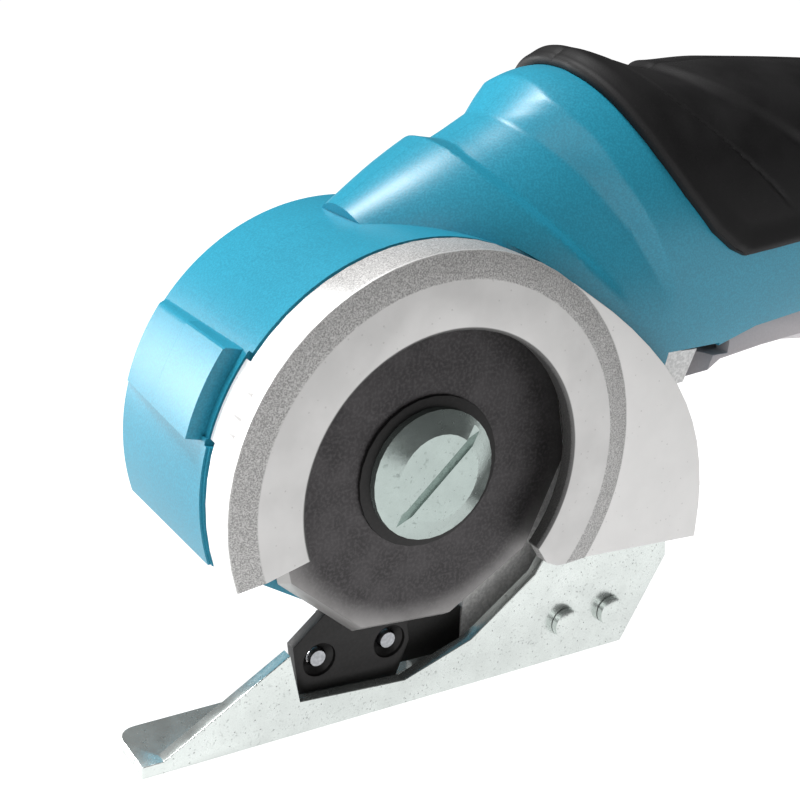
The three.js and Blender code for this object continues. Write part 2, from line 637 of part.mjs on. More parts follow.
function leverPin() {
  return discY(2, MID_Y - 19.2, MID_Y + 19.2, 16, LEVER.x, LEVER.z);
}

// A torsion spring whose coils stand round the lever's pin.
function leverSpring() {
  const turns = 4;
  const steps = 9;
  const points = Array.from({ length: turns * steps + 1 }, (_, i) => {
    const t = 2 * Math.PI * i / steps;
    return new THREE.Vector3(LEVER.x + 3.3 * Math.cos(t), MID_Y - 3 + 1.4 * i / steps,
      LEVER.z + 3.3 * Math.sin(t));
  });
  const section = new THREE.Shape(arc(0.5, 0, 288, 4, 0, 0).map(([u, v]) => new THREE.Vector2(u, v)));
  const path = new THREE.CatmullRomCurve3(points);
  const options = { steps: turns * steps, extrudePath: path, bevelEnabled: false };
  return solid(new THREE.ExtrudeGeometry(section, options));
}

function lockOffSlider() {
  const z = 41.6;                // the lever's underside there
  return block([132, 140], [MID_Y - 4, MID_Y + 4], [z - 1.4, z + 2.6])
    .add(block([130.6, 141.5], [MID_Y - 6, MID_Y + 6], [z + 2.9, z + 4.2]))
    .add(block([133, 139], [MID_Y - 3, MID_Y + 3], [z + 1, z + 3.5]));
}

function switchBody() {
  const body = block([138, 166], [MID_Y - 8, MID_Y + 8], [56.5, 70]);
  return body.subtract(discZ(2.7, 50, 62, 150));
}

function discZ(r, low, high, x) {
  const geometry = new THREE.CylinderGeometry(r, r, high - low, 20);
  return solid(geometry.rotateX(Math.PI / 2).translate(x, MID_Y, (low + high) / 2));
}

function switchPlunger() {
  return discZ(2.5, 50.95, 58, 150);
}

const TERMINALS = [-8, 0, 8];

function terminalBlock() {
  const body = block([204, 215], [MID_Y - 14, MID_Y + 14], [52, 76]);
  const blades = TERMINALS.map((dy) => block([214, 220], [MID_Y + dy - 0.4, MID_Y + dy + 0.4],
    [56, 72]));
  return joined([body, ...blades]);
}

function roundedBlock([x0, x1], [y0, y1], [z0, z1], r) {
  const shape = new THREE.Shape();
  shape.absarc(y1 - r, z1 - r, r, 0, Math.PI / 2);
  shape.absarc(y0 + r, z1 - r, r, Math.PI / 2, Math.PI);
  shape.absarc(y0 + r, z0 + r, r, Math.PI, 1.5 * Math.PI);
  shape.absarc(y1 - r, z0 + r, r, 1.5 * Math.PI, 2 * Math.PI);
  const options = { depth: x1 - x0, bevelEnabled: false, curveSegments: 4 };
  const geometry = new THREE.ExtrudeGeometry(shape, options);
  const turn = new THREE.Matrix4().makeBasis(
    new THREE.Vector3(0, 1, 0), new THREE.Vector3(0, 0, 1), new THREE.Vector3(1, 0, 0));
  return solid(geometry.applyMatrix4(turn).translate(x0, 0, 0));
}

const CASE_SPLIT = BATTERY.front + 20;
const LATCH = { x: [230, 240], z: [58, 78], depth: 5 };

function batterySide(grow) {
  return [MID_Y - BATTERY.halfWidth - grow, MID_Y + BATTERY.halfWidth + grow];
}

function batteryFrontCase() {
  const { low, high } = BATTERY;
  const body = roundedBlock([BATTERY.front, CASE_SPLIT], batterySide(0), [low, high], 7);
  const space = roundedBlock([BATTERY.front + 2.2, CASE_SPLIT + 1], batterySide(-2.2),
    [low + 2.2, high - 2.2], 5);
  const head = block([TONGUE.front, TONGUE.neck - 0.5], [MID_Y - TONGUE.wide, MID_Y + TONGUE.wide],
    [TONGUE.low, TONGUE.high]);
  const neck = block([TONGUE.front + 1, BATTERY.front + 0.5],
    [MID_Y - TONGUE.narrow, MID_Y + TONGUE.narrow], [TONGUE.low, TONGUE.high]);
  const windows = block(LATCH.x, [-60, 90], LATCH.z);
  const bladeSlots = TERMINALS.map((dy) => block([210, 220.8], [MID_Y + dy - 1, MID_Y + dy + 1],
    [54, 90]));
  return joined([body.subtract(space), head, neck]).subtract(joined([windows, ...bladeSlots]));
}

function batteryRearCase() {
  const { low, high } = BATTERY;
  const body = roundedBlock([CASE_SPLIT + 0.3, BATTERY.rear], batterySide(0), [low, high], 7);
  const space = roundedBlock([CASE_SPLIT, BATTERY.rear - 2.2], batterySide(-2.2),
    [low + 2.2, high - 2.2], 5);
  return body.subtract(space);
}

function latchButton(side) {
  const outer = MID_Y + side * (BATTERY.halfWidth + 0.6);
  const inner = MID_Y + side * (BATTERY.halfWidth - LATCH.depth);
  const flange = MID_Y + side * (BATTERY.halfWidth - 3);
  const span = (a, b) => [Math.min(a, b), Math.max(a, b)];
  const cap = block([LATCH.x[0] + 0.4, LATCH.x[1] - 0.4], span(outer, inner),
    [LATCH.z[0] + 0.4, LATCH.z[1] - 0.4]);
  return cap.add(block([LATCH.x[0] - 1.5, LATCH.x[1] + 1.5], span(flange, inner),
    [LATCH.z[0] - 1.5, LATCH.z[1] + 1.5]));
}

const CELLS = [[254, MID_Y - 9.4], [254, MID_Y + 9.4], [238, MID_Y]];

function cell([x, y]) {
  const geometry = new THREE.CylinderGeometry(9, 9, 65, 28);
  return solid(geometry.rotateX(Math.PI / 2).translate(x, y, 52));
}

// ---------------------------------------------------------------- assembly

addPart('rotary_blade', rotaryBlade(), TOOL_STEEL);
addPart('blade_bolt', bladeBolt(), ZINC);
addPart('outer_flange', ringY(3.3, 12, -2.6, -2.05, 28, 0, AXIS_Z), BLACK_OXIDE);
addPart('inner_flange', ringY(4.1, 12, 0.05, 1.4, 20, 0, AXIS_Z), STEEL);
addPart('spindle', spindle(), STEEL);
addPart('spindle_gear', spindleGear(), STEEL);
addPart('spindle_bearing_near', ringY(4.1, 9.5, 1.5, 5.9, 20, 0, AXIS_Z), STEEL);
addPart('spindle_bearing_far', ringY(4.1, 8.5, 19.6, 24.4, 20, 0, AXIS_Z), STEEL);

addPart('guard_cover', guardCover(), CAST);
addPart('gear_case', gearCase(), CAST);
addPart('shoe', shoe(), ZINC);
addPart('shoe_pin_front', shoePin(29.9), ZINC);
addPart('shoe_pin_rear', shoePin(39.6), ZINC);
addPart('fixed_blade', fixedBlade(), BLACK_OXIDE);
addPart('fixed_blade_screw_front', fixedBladeScrew(-15.6), STEEL);
addPart('fixed_blade_screw_rear', fixedBladeScrew(-3.2), STEEL);
addPart('shoe_bracket', shoeBracket(), BLACK_OXIDE);

addPart('idler_shaft', idlerShaft(), STEEL);
addPart('idler_pinion', idlerPinion(), STEEL);
addPart('idler_bearing', ringY(3.1, 5.5, 29.4, 32.8, 20, IDLER_X, DRIVE_Z), STEEL);
addPart('idler_bush', ringY(3.1, 5, 3.8, 5.9, 20, IDLER_X, DRIVE_Z), COPPER);
addPart('bevel_wheel', bevelWheel(), STEEL);
addPart('bevel_pinion', bevelPinion(), STEEL);
addPart('drive_bearing', ringX(2.1, 7, 46.7, 50.6, 20), STEEL);
addPart('planet_carrier', planetCarrier(), STEEL);
PLANET_ANGLES.forEach((angle, i) => addPart(`planet_gear_${i + 1}`, planet(angle), STEEL));
addPart('ring_gear', ringGear(), STEEL);

addPart('motor_shaft', motorShaft(), STEEL);
addPart('motor_can', motorCan(), ZINC);
addPart('magnet_near', magnet(-1), BLACK_OXIDE);
addPart('magnet_far', magnet(1), BLACK_OXIDE);
addPart('armature', armature(), STEEL);
addPart('commutator', commutator(), COPPER);
addPart('motor_end_cap', motorEndCap(), PLASTIC_BLACK);
addPart('brush_upper', brush(1), BLACK_OXIDE);
addPart('brush_lower', brush(-1), BLACK_OXIDE);

const shell = housingShell();
const rubber = rubberShell();
addPart('housing_near', half(shell, true), TEAL);
addPart('housing_far', half(shell, false), TEAL);
addPart('grip_rubber_near', half(rubber, true), RUBBER);
addPart('grip_rubber_far', half(rubber, false), RUBBER);
SCREWS.forEach((at, i) => addPart(`housing_screw_${i + 1}`, housingScrew(at), ZINC));

addPart('paddle_lever', paddleLever(), PLASTIC_GREY);
addPart('lever_pin', leverPin(), STEEL);
addPart('lever_spring', leverSpring(), STEEL);
addPart('lock_off_slider', lockOffSlider(), PLASTIC_BLACK);
addPart('switch_body', switchBody(), PLASTIC_BLACK);
addPart('switch_plunger', switchPlunger(), PLASTIC_GREY);
addPart('terminal_block', terminalBlock(), PLASTIC_BLACK);

addPart('battery_front_case', batteryFrontCase(), PLASTIC_BLACK);
addPart('battery_rear_case', batteryRearCase(), PLASTIC_BLACK);
addPart('battery_latch_near', latchButton(-1), RUBBER);
addPart('battery_latch_far', latchButton(1), RUBBER);
CELLS.forEach((at, i) => addPart(`battery_cell_${i + 1}`, cell(at), CELL_WRAP));

export default part;
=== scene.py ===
"""Looks of a cordless rotary cutter: housing, rubber grip, die-cast guard, blades and battery."""

import json
import logging
import math
from dataclasses import dataclass
from enum import Enum
from typing import Callable, Iterable, Sequence

import bmesh
import bpy
import numpy as np
from mathutils import Matrix, Vector

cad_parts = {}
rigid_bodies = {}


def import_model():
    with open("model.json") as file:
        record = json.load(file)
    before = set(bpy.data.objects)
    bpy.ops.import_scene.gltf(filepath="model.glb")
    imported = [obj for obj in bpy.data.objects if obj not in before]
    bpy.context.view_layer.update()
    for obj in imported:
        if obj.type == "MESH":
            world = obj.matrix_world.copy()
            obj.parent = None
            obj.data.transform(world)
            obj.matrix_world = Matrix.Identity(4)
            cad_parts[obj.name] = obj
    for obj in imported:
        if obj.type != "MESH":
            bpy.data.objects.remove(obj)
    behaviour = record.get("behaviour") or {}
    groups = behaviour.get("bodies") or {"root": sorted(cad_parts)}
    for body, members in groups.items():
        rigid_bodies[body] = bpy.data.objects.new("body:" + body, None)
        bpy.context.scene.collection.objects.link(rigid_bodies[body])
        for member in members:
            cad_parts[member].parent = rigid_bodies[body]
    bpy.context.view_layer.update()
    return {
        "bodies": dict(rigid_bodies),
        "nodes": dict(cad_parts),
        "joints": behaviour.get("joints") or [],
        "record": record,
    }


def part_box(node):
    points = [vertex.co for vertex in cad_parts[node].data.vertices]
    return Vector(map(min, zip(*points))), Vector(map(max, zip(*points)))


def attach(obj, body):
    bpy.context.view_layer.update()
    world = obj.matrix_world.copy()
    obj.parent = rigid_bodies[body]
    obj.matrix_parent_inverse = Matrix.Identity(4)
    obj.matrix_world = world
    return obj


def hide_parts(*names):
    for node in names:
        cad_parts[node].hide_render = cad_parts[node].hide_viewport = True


LOG = logging.getLogger("cutter")
MM = 0.001
AXIS_Z = 39.6                   # height of the blade's axis, mm
MID_Y = 18.0                    # parting plane of the housing halves, mm
PARTING_GAP = 0.01              # half the fine gap between the housing halves, mm
SCREWS = ((58, 88), (133, 82), (182, 77), (207, 37))    # x and z of the housing screws, mm
LEVER_PIVOT = (67, 58.3)        # x and z of the paddle lever's pin, mm


class Op(Enum):
    """What a boolean does with its cutter."""

    CUT = "DIFFERENCE"
    JOIN = "UNION"
    KEEP = "INTERSECT"


# ---------------------------------------------------------------- shader graph


class Value:
    """A shader socket that can be used in arithmetic."""

    def __init__(self, graph: "Graph", socket: bpy.types.NodeSocket) -> None:
        """Wraps one output socket of a graph."""
        self.graph = graph
        self.socket = socket

    def _math(self, operation: str, *terms: "Value | float") -> "Value":
        """Adds one Math node on the given terms."""
        inputs = dict(enumerate(terms))
        return self.graph.node("ShaderNodeMath", {"operation": operation}, inputs)

    def __add__(self, other: "Value | float") -> "Value":
        """Sum."""
        return self._math("ADD", self, other)

    def __radd__(self, other: float) -> "Value":
        """Reflected sum."""
        return self._math("ADD", other, self)

    def __sub__(self, other: "Value | float") -> "Value":
        """Difference."""
        return self._math("SUBTRACT", self, other)

    def __rsub__(self, other: float) -> "Value":
        """Reflected difference."""
        return self._math("SUBTRACT", other, self)

    def __mul__(self, other: "Value | float") -> "Value":
        """Product."""
        return self._math("MULTIPLY", self, other)

    def __rmul__(self, other: float) -> "Value":
        """Reflected product."""
        return self._math("MULTIPLY", other, self)

    def __pow__(self, other: float) -> "Value":
        """Power."""
        return self._math("POWER", self, other)

    def step(self, low: float, high: float) -> "Value":
        """Rises smoothly from 0 to 1 between two values, or falls when low is above high.

        Args:
            low: value where the result is 0.
            high: value where the result is 1.

        Returns:
            The smoothed step.
        """
        settings = {"interpolation_type": "SMOOTHSTEP", "clamp": True}
        if low < high:
            return self.graph.node("ShaderNodeMapRange", settings, {0: self, 1: low, 2: high})
        return 1.0 - self.graph.node("ShaderNodeMapRange", settings, {0: self, 1: high, 2: low})


class Graph:
    """The node tree of one procedural material."""

    def __init__(self, name: str) -> None:
        """Starts an empty material with a Principled shader."""
        self.material = bpy.data.materials.new(name)
        self.material.use_nodes = True
        self.tree = self.material.node_tree
        self.tree.nodes.clear()
        output = self.tree.nodes.new("ShaderNodeOutputMaterial")
        self.shader = self.tree.nodes.new("ShaderNodeBsdfPrincipled")
        self.tree.links.new(self.shader.outputs[0], output.inputs[0])
        self.place = self.node("ShaderNodeTexCoord", output=3)

    def node(self, kind: str, settings: dict | None = None, inputs: dict | None = None,
             output: int | str = 0) -> Value:
        """Adds one node.

        Args:
            kind: the node's type.
            settings: its properties, set first.
            inputs: values or links for its sockets, by index or name.
            output: the output socket that is wanted.

        Returns:
            That output as a Value.
        """
        made = self.tree.nodes.new(kind)
        for key, value in (settings or {}).items():
            setattr(made, key, value)
        for key, value in (inputs or {}).items():
            self.feed(made.inputs[key], value)
        return Value(self, made.outputs[output])

    def feed(self, socket: bpy.types.NodeSocket, value: "Value | float | Sequence[float]") -> None:
        """Links a Value to a socket or sets a constant on it."""
        if isinstance(value, Value):
            self.tree.links.new(value.socket, socket)
        elif socket.type == "RGBA" and len(value) == 3:
            socket.default_value = (*value, 1.0)
        else:
            socket.default_value = value

    def set(self, **values: "Value | float | Sequence[float]") -> None:
        """Feeds the shader's own sockets, named with underscores for spaces."""
        for key, value in values.items():
            self.feed(self.shader.inputs[key.replace("_", " ")], value)

    def axes(self) -> tuple[Value, Value, Value]:
        """Returns the object's X, Y and Z in millimetres."""
        split = self.node("ShaderNodeSeparateXYZ", inputs={0: self.place})
        node = split.socket.node
        return tuple(Value(self, node.outputs[i]) * (1 / MM) for i in range(3))

    def noise(self, size: float, detail: float = 2.0, stretch: Sequence[float] = (1, 1, 1)) -> Value:
        """Adds smooth noise.

        Args:
            size: size of a blob in millimetres.
            detail: octaves.
            stretch: how many times longer the blobs are along each axis.

        Returns:
            Noise about 0.5.
        """
        scale = tuple(1 / s for s in stretch)
        at = self.node("ShaderNodeMapping", inputs={"Vector": self.place, "Scale": scale})
        return self.node("ShaderNodeTexNoise", inputs={"Vector": at, "Scale": 1 / (size * MM),
                                                       "Detail": detail})

    def specks(self, size: float, share: float) -> Value:
        """Adds scattered specks: 1 inside a speck and 0 elsewhere.

        Args:
            size: spacing of the cells in millimetres.
            share: radius of a speck as a share of a cell.

        Returns:
            The mask.
        """
        cells = self.node("ShaderNodeTexVoronoi", inputs={"Vector": self.place,
                                                         "Scale": 1 / (size * MM)})
        node = cells.socket.node
        chance = self.node("ShaderNodeSeparateColor", inputs={0: Value(self, node.outputs["Color"])})
        return cells.step(share, share * 0.5) * chance.step(0.55, 0.6)

    def mix(self, factor: Value, low: "Value | Sequence[float]",
            high: "Value | Sequence[float]") -> Value:
        """Mixes two colours by a factor."""
        return self.node("ShaderNodeMix", {"data_type": "RGBA"}, {0: factor, 6: low, 7: high}, 2)

    def bump(self, height: Value, depth: float) -> Value:
        """Turns a height into a normal.

        Args:
            height: the height, about 0 to 1.
            depth: what a height of 1 stands for, in millimetres.

        Returns:
            The normal.
        """
        return self.node("ShaderNodeBump", inputs={"Height": height, "Distance": depth * MM})


def tone(red: int, green: int, blue: int) -> tuple[float, float, float]:
    """Turns a screen colour of 0 to 255 into linear light."""
    def linear(level: int) -> float:
        """One channel."""
        part = level / 255
        return part / 12.92 if part <= 0.04045 else ((part + 0.055) / 1.055) ** 2.4
    return linear(red), linear(green), linear(blue)


def scaled(colour: Sequence[float], factor: float) -> tuple[float, ...]:
    """Returns a colour made lighter or darker."""
    return tuple(channel * factor for channel in colour)


# ---------------------------------------------------------------- finishes


@dataclass(frozen=True)
class MouldedPlastic:
    """Spark-textured moulded plastic."""

    name: str
    colour: tuple[float, float, float]
    roughness: float = 0.45
    grain: float = 0.35             # size of the mould texture, mm
    depth: float = 0.012            # depth of the mould texture, mm
    sparkle: float = 0.08           # how far the grain lightens and darkens the colour

    def build(self) -> bpy.types.Material:
        """Makes the material."""
        g = Graph(self.name)
        grain = g.noise(self.grain, 3)
        broad = g.noise(28, 2)
        light = g.mix(grain.step(0.35, 0.68), scaled(self.colour, 1 - self.sparkle),
                      scaled(self.colour, 1 + self.sparkle))
        dull = g.mix(broad.step(0.3, 0.7), (0.95, 0.95, 0.95), (1.03, 1.03, 1.03))
        colour = g.node("ShaderNodeMix", {"data_type": "RGBA", "blend_type": "MULTIPLY"},
                        {0: 1.0, 6: light, 7: dull}, 2)
        g.set(Base_Color=colour, Roughness=self.roughness + 0.12 * (grain - 0.5),
              Normal=g.bump(grain, self.depth))
        return g.material


@dataclass(frozen=True)
class SoftRubber:
    """Matt overmoulded rubber with dust specks."""

    name: str
    colour: tuple[float, float, float]

    def build(self) -> bpy.types.Material:
        """Makes the material."""
        g = Graph(self.name)
        grain = g.noise(0.28, 3)
        broad = g.noise(9, 3)
        dust = g.specks(0.9, 0.11)
        body = g.mix(broad.step(0.3, 0.7), scaled(self.colour, 0.8), scaled(self.colour, 1.3))
        worn = g.mix(grain.step(0.55, 0.75) * 0.35, body, scaled(self.colour, 2.2))
        g.set(Base_Color=g.mix(dust * 0.5, worn, scaled(self.colour, 7)),
              Roughness=0.56 + 0.16 * broad.step(0.3, 0.7), Normal=g.bump(grain, 0.02),
              Specular_IOR_Level=0.34)
        return g.material


@dataclass(frozen=True)
class GuardCasting:
    """Die casting with a sanded flat ring, a smooth wing and sand texture on its bevel, with a painted
    highlight on the rim's left side and the wing, and painted shade on the inner wall of its recess.
    """

    name: str
    light: tuple[float, float, float]
    dark: tuple[float, float, float]
    flat_from: float = 23.4          # radii of the machined ring about the blade's axis, mm
    flat_to: float = 30.5

    def build(self) -> bpy.types.Material:
        """Makes the material."""
        g = Graph(self.name)
        x, y, z = g.axes()
        height = z - AXIS_Z
        radius = (x * x + height * height) ** 0.5
        wing = radius.step(34.3, 34.8) * y.step(-5.9, -6.1)
        ring = radius.step(self.flat_to + 0.2, self.flat_to - 0.1) * y.step(-6.9, -7.1)
        # the rim's round face, on the left side only: made smooth, and given the painted highlight below
        rim = radius.step(34.3, 34.55) * y.step(-6.3, -6.1) * x.step(-16, -22)
        smooth = ring + wing + rim
        grit = g.noise(0.22, 2)
        pit = g.specks(1.1, 0.16)
        cloud = g.noise(6, 3)
        rough_tone = g.mix(grit.step(0.32, 0.7), self.dark, self.light)
        smooth_tone = g.mix(cloud.step(0.25, 0.75), scaled(self.light, 0.94), scaled(self.light, 1.06))
        body = g.mix(smooth, rough_tone, smooth_tone)
        # painted highlight: the rim's left side is lifted to 1.5 times the light tone, where the lamp
        # from the left falls on it, and the wing 40 % of the way
        bright = g.mix(wing * 0.4 + rim, body, scaled(self.light, 1.5))
        coarse = 1.0 - smooth * 0.8
        # painted shade: the inner wall of the blade's recess is darkened to near black
        painted_shade_wall = radius.step(self.flat_from + 0.35, self.flat_from + 0.1)
        pitted = g.mix(pit * 0.35, bright, self.dark)
        g.set(Base_Color=g.mix(painted_shade_wall * 0.85, pitted, scaled(self.dark, 0.12)), Metallic=0.55,
              Roughness=0.42 + 0.16 * coarse + 0.1 * (cloud - 0.5),
              Normal=g.bump(grit * coarse - pit * 0.4, 0.035))
        return g.material


@dataclass(frozen=True)
class PlatedSheet:
    """Zinc-plated steel: bright, cloudy and speckled."""

    name: str
    light: tuple[float, float, float]
    dark: tuple[float, float, float]
    roughness: float = 0.34
    speck: float = 0.45             # strength of the dark specks
    grain: float = 0.4              # size of the mottling, mm

    def build(self) -> bpy.types.Material:
        """Makes the material."""
        g = Graph(self.name)
        cloud = g.noise(3.4, 4)
        fine = g.noise(self.grain, 3)
        specks = g.specks(0.8, 0.22)
        body = g.mix(cloud.step(0.25, 0.75), scaled(self.light, 0.9), self.light)
        mottled = g.mix(fine.step(0.58, 0.8) * 0.5, body, self.dark)
        g.set(Base_Color=g.mix(specks * self.speck, mottled, self.dark), Metallic=0.85,
              Roughness=self.roughness + 0.2 * (cloud - 0.5) + 0.1 * specks,
              Normal=g.bump(fine + cloud * 0.5, 0.012))
        return g.material


@dataclass(frozen=True)
class StoneWashedSteel:
    """Tumbled dark blade steel that pales towards the ground edge, more so below the blade's axis."""

    name: str
    dark: tuple[float, float, float]
    light: tuple[float, float, float]

    def build(self) -> bpy.types.Material:
        """Makes the material."""
        g = Graph(self.name)
        x, y, z = g.axes()
        height = z - AXIS_Z
        radius = (x * x + height * height) ** 0.5
        wash = g.noise(0.5, 3)
        patch = g.noise(5, 3)
        # paler towards the edge, and more so below the blade's axis
        edge = radius.step(21.0, 26.5) * (0.4 + 0.6 * height.step(2, -20))
        ground = y.step(-1.97, -1.85) * radius.step(20, 23)
        low = g.mix(wash.step(0.42, 0.66) * 0.45, scaled(self.dark, 0.75), scaled(self.dark, 2.1))
        tone_low = g.mix(patch.step(0.35, 0.7) * 0.4, low, scaled(self.dark, 1.7))
        pale = g.mix(edge * (0.35 + 0.5 * patch), tone_low, self.light)
        g.set(Base_Color=g.mix(ground * 0.8, pale, self.light), Metallic=0.8,
              Roughness=0.4 + 0.22 * wash, Normal=g.bump(wash, 0.02))
        return g.material


@dataclass(frozen=True)
class WorkedMetal:
    """Turned, ground or blackened metal with fine marks along one axis."""

    name: str
    colour: tuple[float, float, float]
    roughness: float = 0.35
    metallic: float = 0.95
    stretch: tuple[float, float, float] = (1, 8, 1)     # how long the marks are along each axis

    def build(self) -> bpy.types.Material:
        """Makes the material."""
        g = Graph(self.name)
        marks = g.noise(0.5, 3, self.stretch)
        cloud = g.noise(5, 2)
        body = g.mix(marks.step(0.35, 0.7), scaled(self.colour, 0.82), scaled(self.colour, 1.12))
        g.set(Base_Color=g.mix(cloud.step(0.4, 0.8) * 0.3, body, scaled(self.colour, 0.7)),
              Metallic=self.metallic, Roughness=self.roughness + 0.15 * (marks - 0.4),
              Normal=g.bump(marks, 0.01))
        return g.material


@dataclass(frozen=True)
class CellFilm:
    """Shrunk film on the battery cells."""

    name: str
    colour: tuple[float, float, float]

    def build(self) -> bpy.types.Material:
        """Makes the material."""
        g = Graph(self.name)
        crease = g.noise(2.2, 2, (1, 1, 5))
        g.set(Base_Color=g.mix(crease.step(0.4, 0.6), scaled(self.colour, 0.9), self.colour),
              Roughness=0.28 + 0.1 * crease, Normal=g.bump(crease, 0.03))
        return g.material


TEAL = MouldedPlastic("teal_plastic", tone(38, 137, 163), 0.38, 0.3, 0.016, 0.12)
GREY = MouldedPlastic("grey_plastic", tone(178, 173, 176), 0.42, 0.4, 0.008, 0.03)
BLACK = MouldedPlastic("black_plastic", tone(32, 32, 35), 0.5, 0.45, 0.02, 0.15)
RUBBER = SoftRubber("grip_rubber", tone(14, 13, 14))
CASTING = GuardCasting("guard_casting", tone(206, 205, 204), tone(150, 149, 148))
PLAIN_CAST = WorkedMetal("gear_case_casting", tone(222, 221, 220), 0.5, 0.6, (1, 1, 1))
ZINC = PlatedSheet("zinc_plate", tone(224, 230, 227), tone(112, 118, 116), 0.24, 0.6)
BOLT_ZINC = PlatedSheet("bolt_zinc", tone(178, 190, 186), tone(104, 116, 112), 0.22, 0.3, 0.8)
BLADE = StoneWashedSteel("blade_steel", tone(70, 68, 69), tone(184, 182, 181))
OXIDE = WorkedMetal("black_oxide", tone(40, 39, 39), 0.42, 0.6, (1, 1, 1))
STEEL = WorkedMetal("machined_steel", tone(176, 178, 182), 0.3)
COPPER = WorkedMetal("copper", tone(184, 112, 70), 0.34)
FILM = CellFilm("cell_wrap", tone(72, 142, 106))


class Paintbox:
    """Makes each finish once and hands it out."""

    def __init__(self) -> None:
        """Starts with no material made."""
        self.made: dict[str, bpy.types.Material] = {}

    def get(self, finish: object) -> bpy.types.Material:
        """Returns the material of a finish."""
        if finish.name not in self.made:
            self.made[finish.name] = finish.build()
        return self.made[finish.name]


# ---------------------------------------------------------------- mesh tools


def new_object(name: str, mesh: bpy.types.Mesh) -> bpy.types.Object:
    """Links a mesh to the scene as an object at the origin."""
    made = bpy.data.objects.new(name, mesh)
    bpy.context.scene.collection.objects.link(made)
    return made


def mesh_object(name: str, points: Iterable[Sequence[float]], faces: Iterable[Sequence[int]],
                ) -> bpy.types.Object:
    """Makes an object from points in millimetres and faces.

    Args:
        name: the object's name.
        points: the vertices, mm.
        faces: vertex numbers of each face.

    Returns:
        The object, its faces turned outwards.
    """
    mesh = bpy.data.meshes.new(name)
    mesh.from_pydata([[c * MM for c in p] for p in points], [], [list(f) for f in faces])
    made = new_object(name, mesh)
    shape = bmesh.new()
    shape.from_mesh(mesh)
    bmesh.ops.recalc_face_normals(shape, faces=shape.faces)
    shape.to_mesh(mesh)
    shape.free()
    return made


def prism(outline: Sequence[Sequence[float]], near: float, far: float) -> bpy.types.Object:
    """Extrudes an outline of (x, z) points between two Y planes."""
    count = len(outline)
    points = [(x, y, z) for y in (near, far) for x, z in outline]
    faces = [list(range(count)), list(range(2 * count - 1, count - 1, -1))]
    faces += [(i, (i + 1) % count, count + (i + 1) % count, count + i) for i in range(count)]
    return mesh_object("prism", points, faces)


def block(low: Sequence[float], high: Sequence[float]) -> bpy.types.Object:
    """Makes a box between two corners."""
    outline = [(low[0], low[2]), (high[0], low[2]), (high[0], high[2]), (low[0], high[2])]
    return prism(outline, low[1], high[1])


def turned(profile: Sequence[Sequence[float]], x: float = 0.0, z: float = AXIS_Z,
           segments: int = 160) -> bpy.types.Object:
    """Turns a profile of (radius, y) points about an axis along Y.

    Args:
        profile: points from the axis, out and back to the axis.
        x: place of the axis.
        z: place of the axis.
        segments: facets round.

    Returns:
        The closed solid.
    """
    inner = profile[1:-1]
    rows = len(inner)
    points = [(x, profile[0][1], z), (x, profile[-1][1], z)]
    for k in range(segments):
        angle = 2 * math.pi * k / segments
        points += [(x + r * math.cos(angle), y, z + r * math.sin(angle)) for r, y in inner]
    faces = []
    for k in range(segments):
        here = 2 + k * rows
        there = 2 + (k + 1) % segments * rows
        faces.append((0, here, there))
        faces.append((1, there + rows - 1, here + rows - 1))
        faces += [(here + i, here + i + 1, there + i + 1, there + i) for i in range(rows - 1)]
    return mesh_object("turned", points, faces)


def disc(radius: float, near: float, far: float, x: float, z: float, segments: int = 32,
         ) -> bpy.types.Object:
    """Makes a round bar along Y."""
    return turned([(0, near), (radius, near), (radius, far), (0, far)], x, z, segments)


def arc(radius: float, start: float, end: float, steps: int) -> list[tuple[float, float]]:
    """Returns (x, z) points on an arc about the blade's axis, angles in degrees."""
    angles = [math.radians(start + (end - start) * i / steps) for i in range(steps + 1)]
    return [(radius * math.cos(a), AXIS_Z + radius * math.sin(a)) for a in angles]


def apply_modifiers(piece: bpy.types.Object) -> bpy.types.Object:
    """Bakes a piece's modifiers into a plain mesh."""
    graph = bpy.context.evaluated_depsgraph_get()
    old = piece.data
    piece.data = bpy.data.meshes.new_from_object(piece.evaluated_get(graph))
    piece.modifiers.clear()
    bpy.data.meshes.remove(old)
    return piece


def combine(piece: bpy.types.Object, cutter: bpy.types.Object, op: Op) -> bpy.types.Object:
    """Joins, cuts or clips a piece with a cutter, and removes the cutter."""
    modifier = piece.modifiers.new("shape", "BOOLEAN")
    modifier.operation = op.value
    modifier.solver = "EXACT"
    modifier.object = cutter
    apply_modifiers(piece)
    bpy.data.objects.remove(cutter)
    return piece


def joined(parts: Sequence[bpy.types.Object]) -> bpy.types.Object:
    """Joins closed solids into one."""
    first, *others = parts
    for other in others:
        combine(first, other, Op.JOIN)
    return first


def smooth(piece: bpy.types.Object, angle: float = 30.0) -> bpy.types.Object:
    """Shades a piece smoothly except over edges sharper than an angle in degrees."""
    mesh = piece.data
    mesh.polygons.foreach_set("use_smooth", [True] * len(mesh.polygons))
    mesh.set_sharp_from_angle(angle=math.radians(angle))
    return piece


def dress(piece: bpy.types.Object, material: bpy.types.Material) -> bpy.types.Object:
    """Gives a piece one material."""
    piece.data.materials.clear()
    piece.data.materials.append(material)
    for polygon in piece.data.polygons:
        polygon.material_index = 0
    return piece


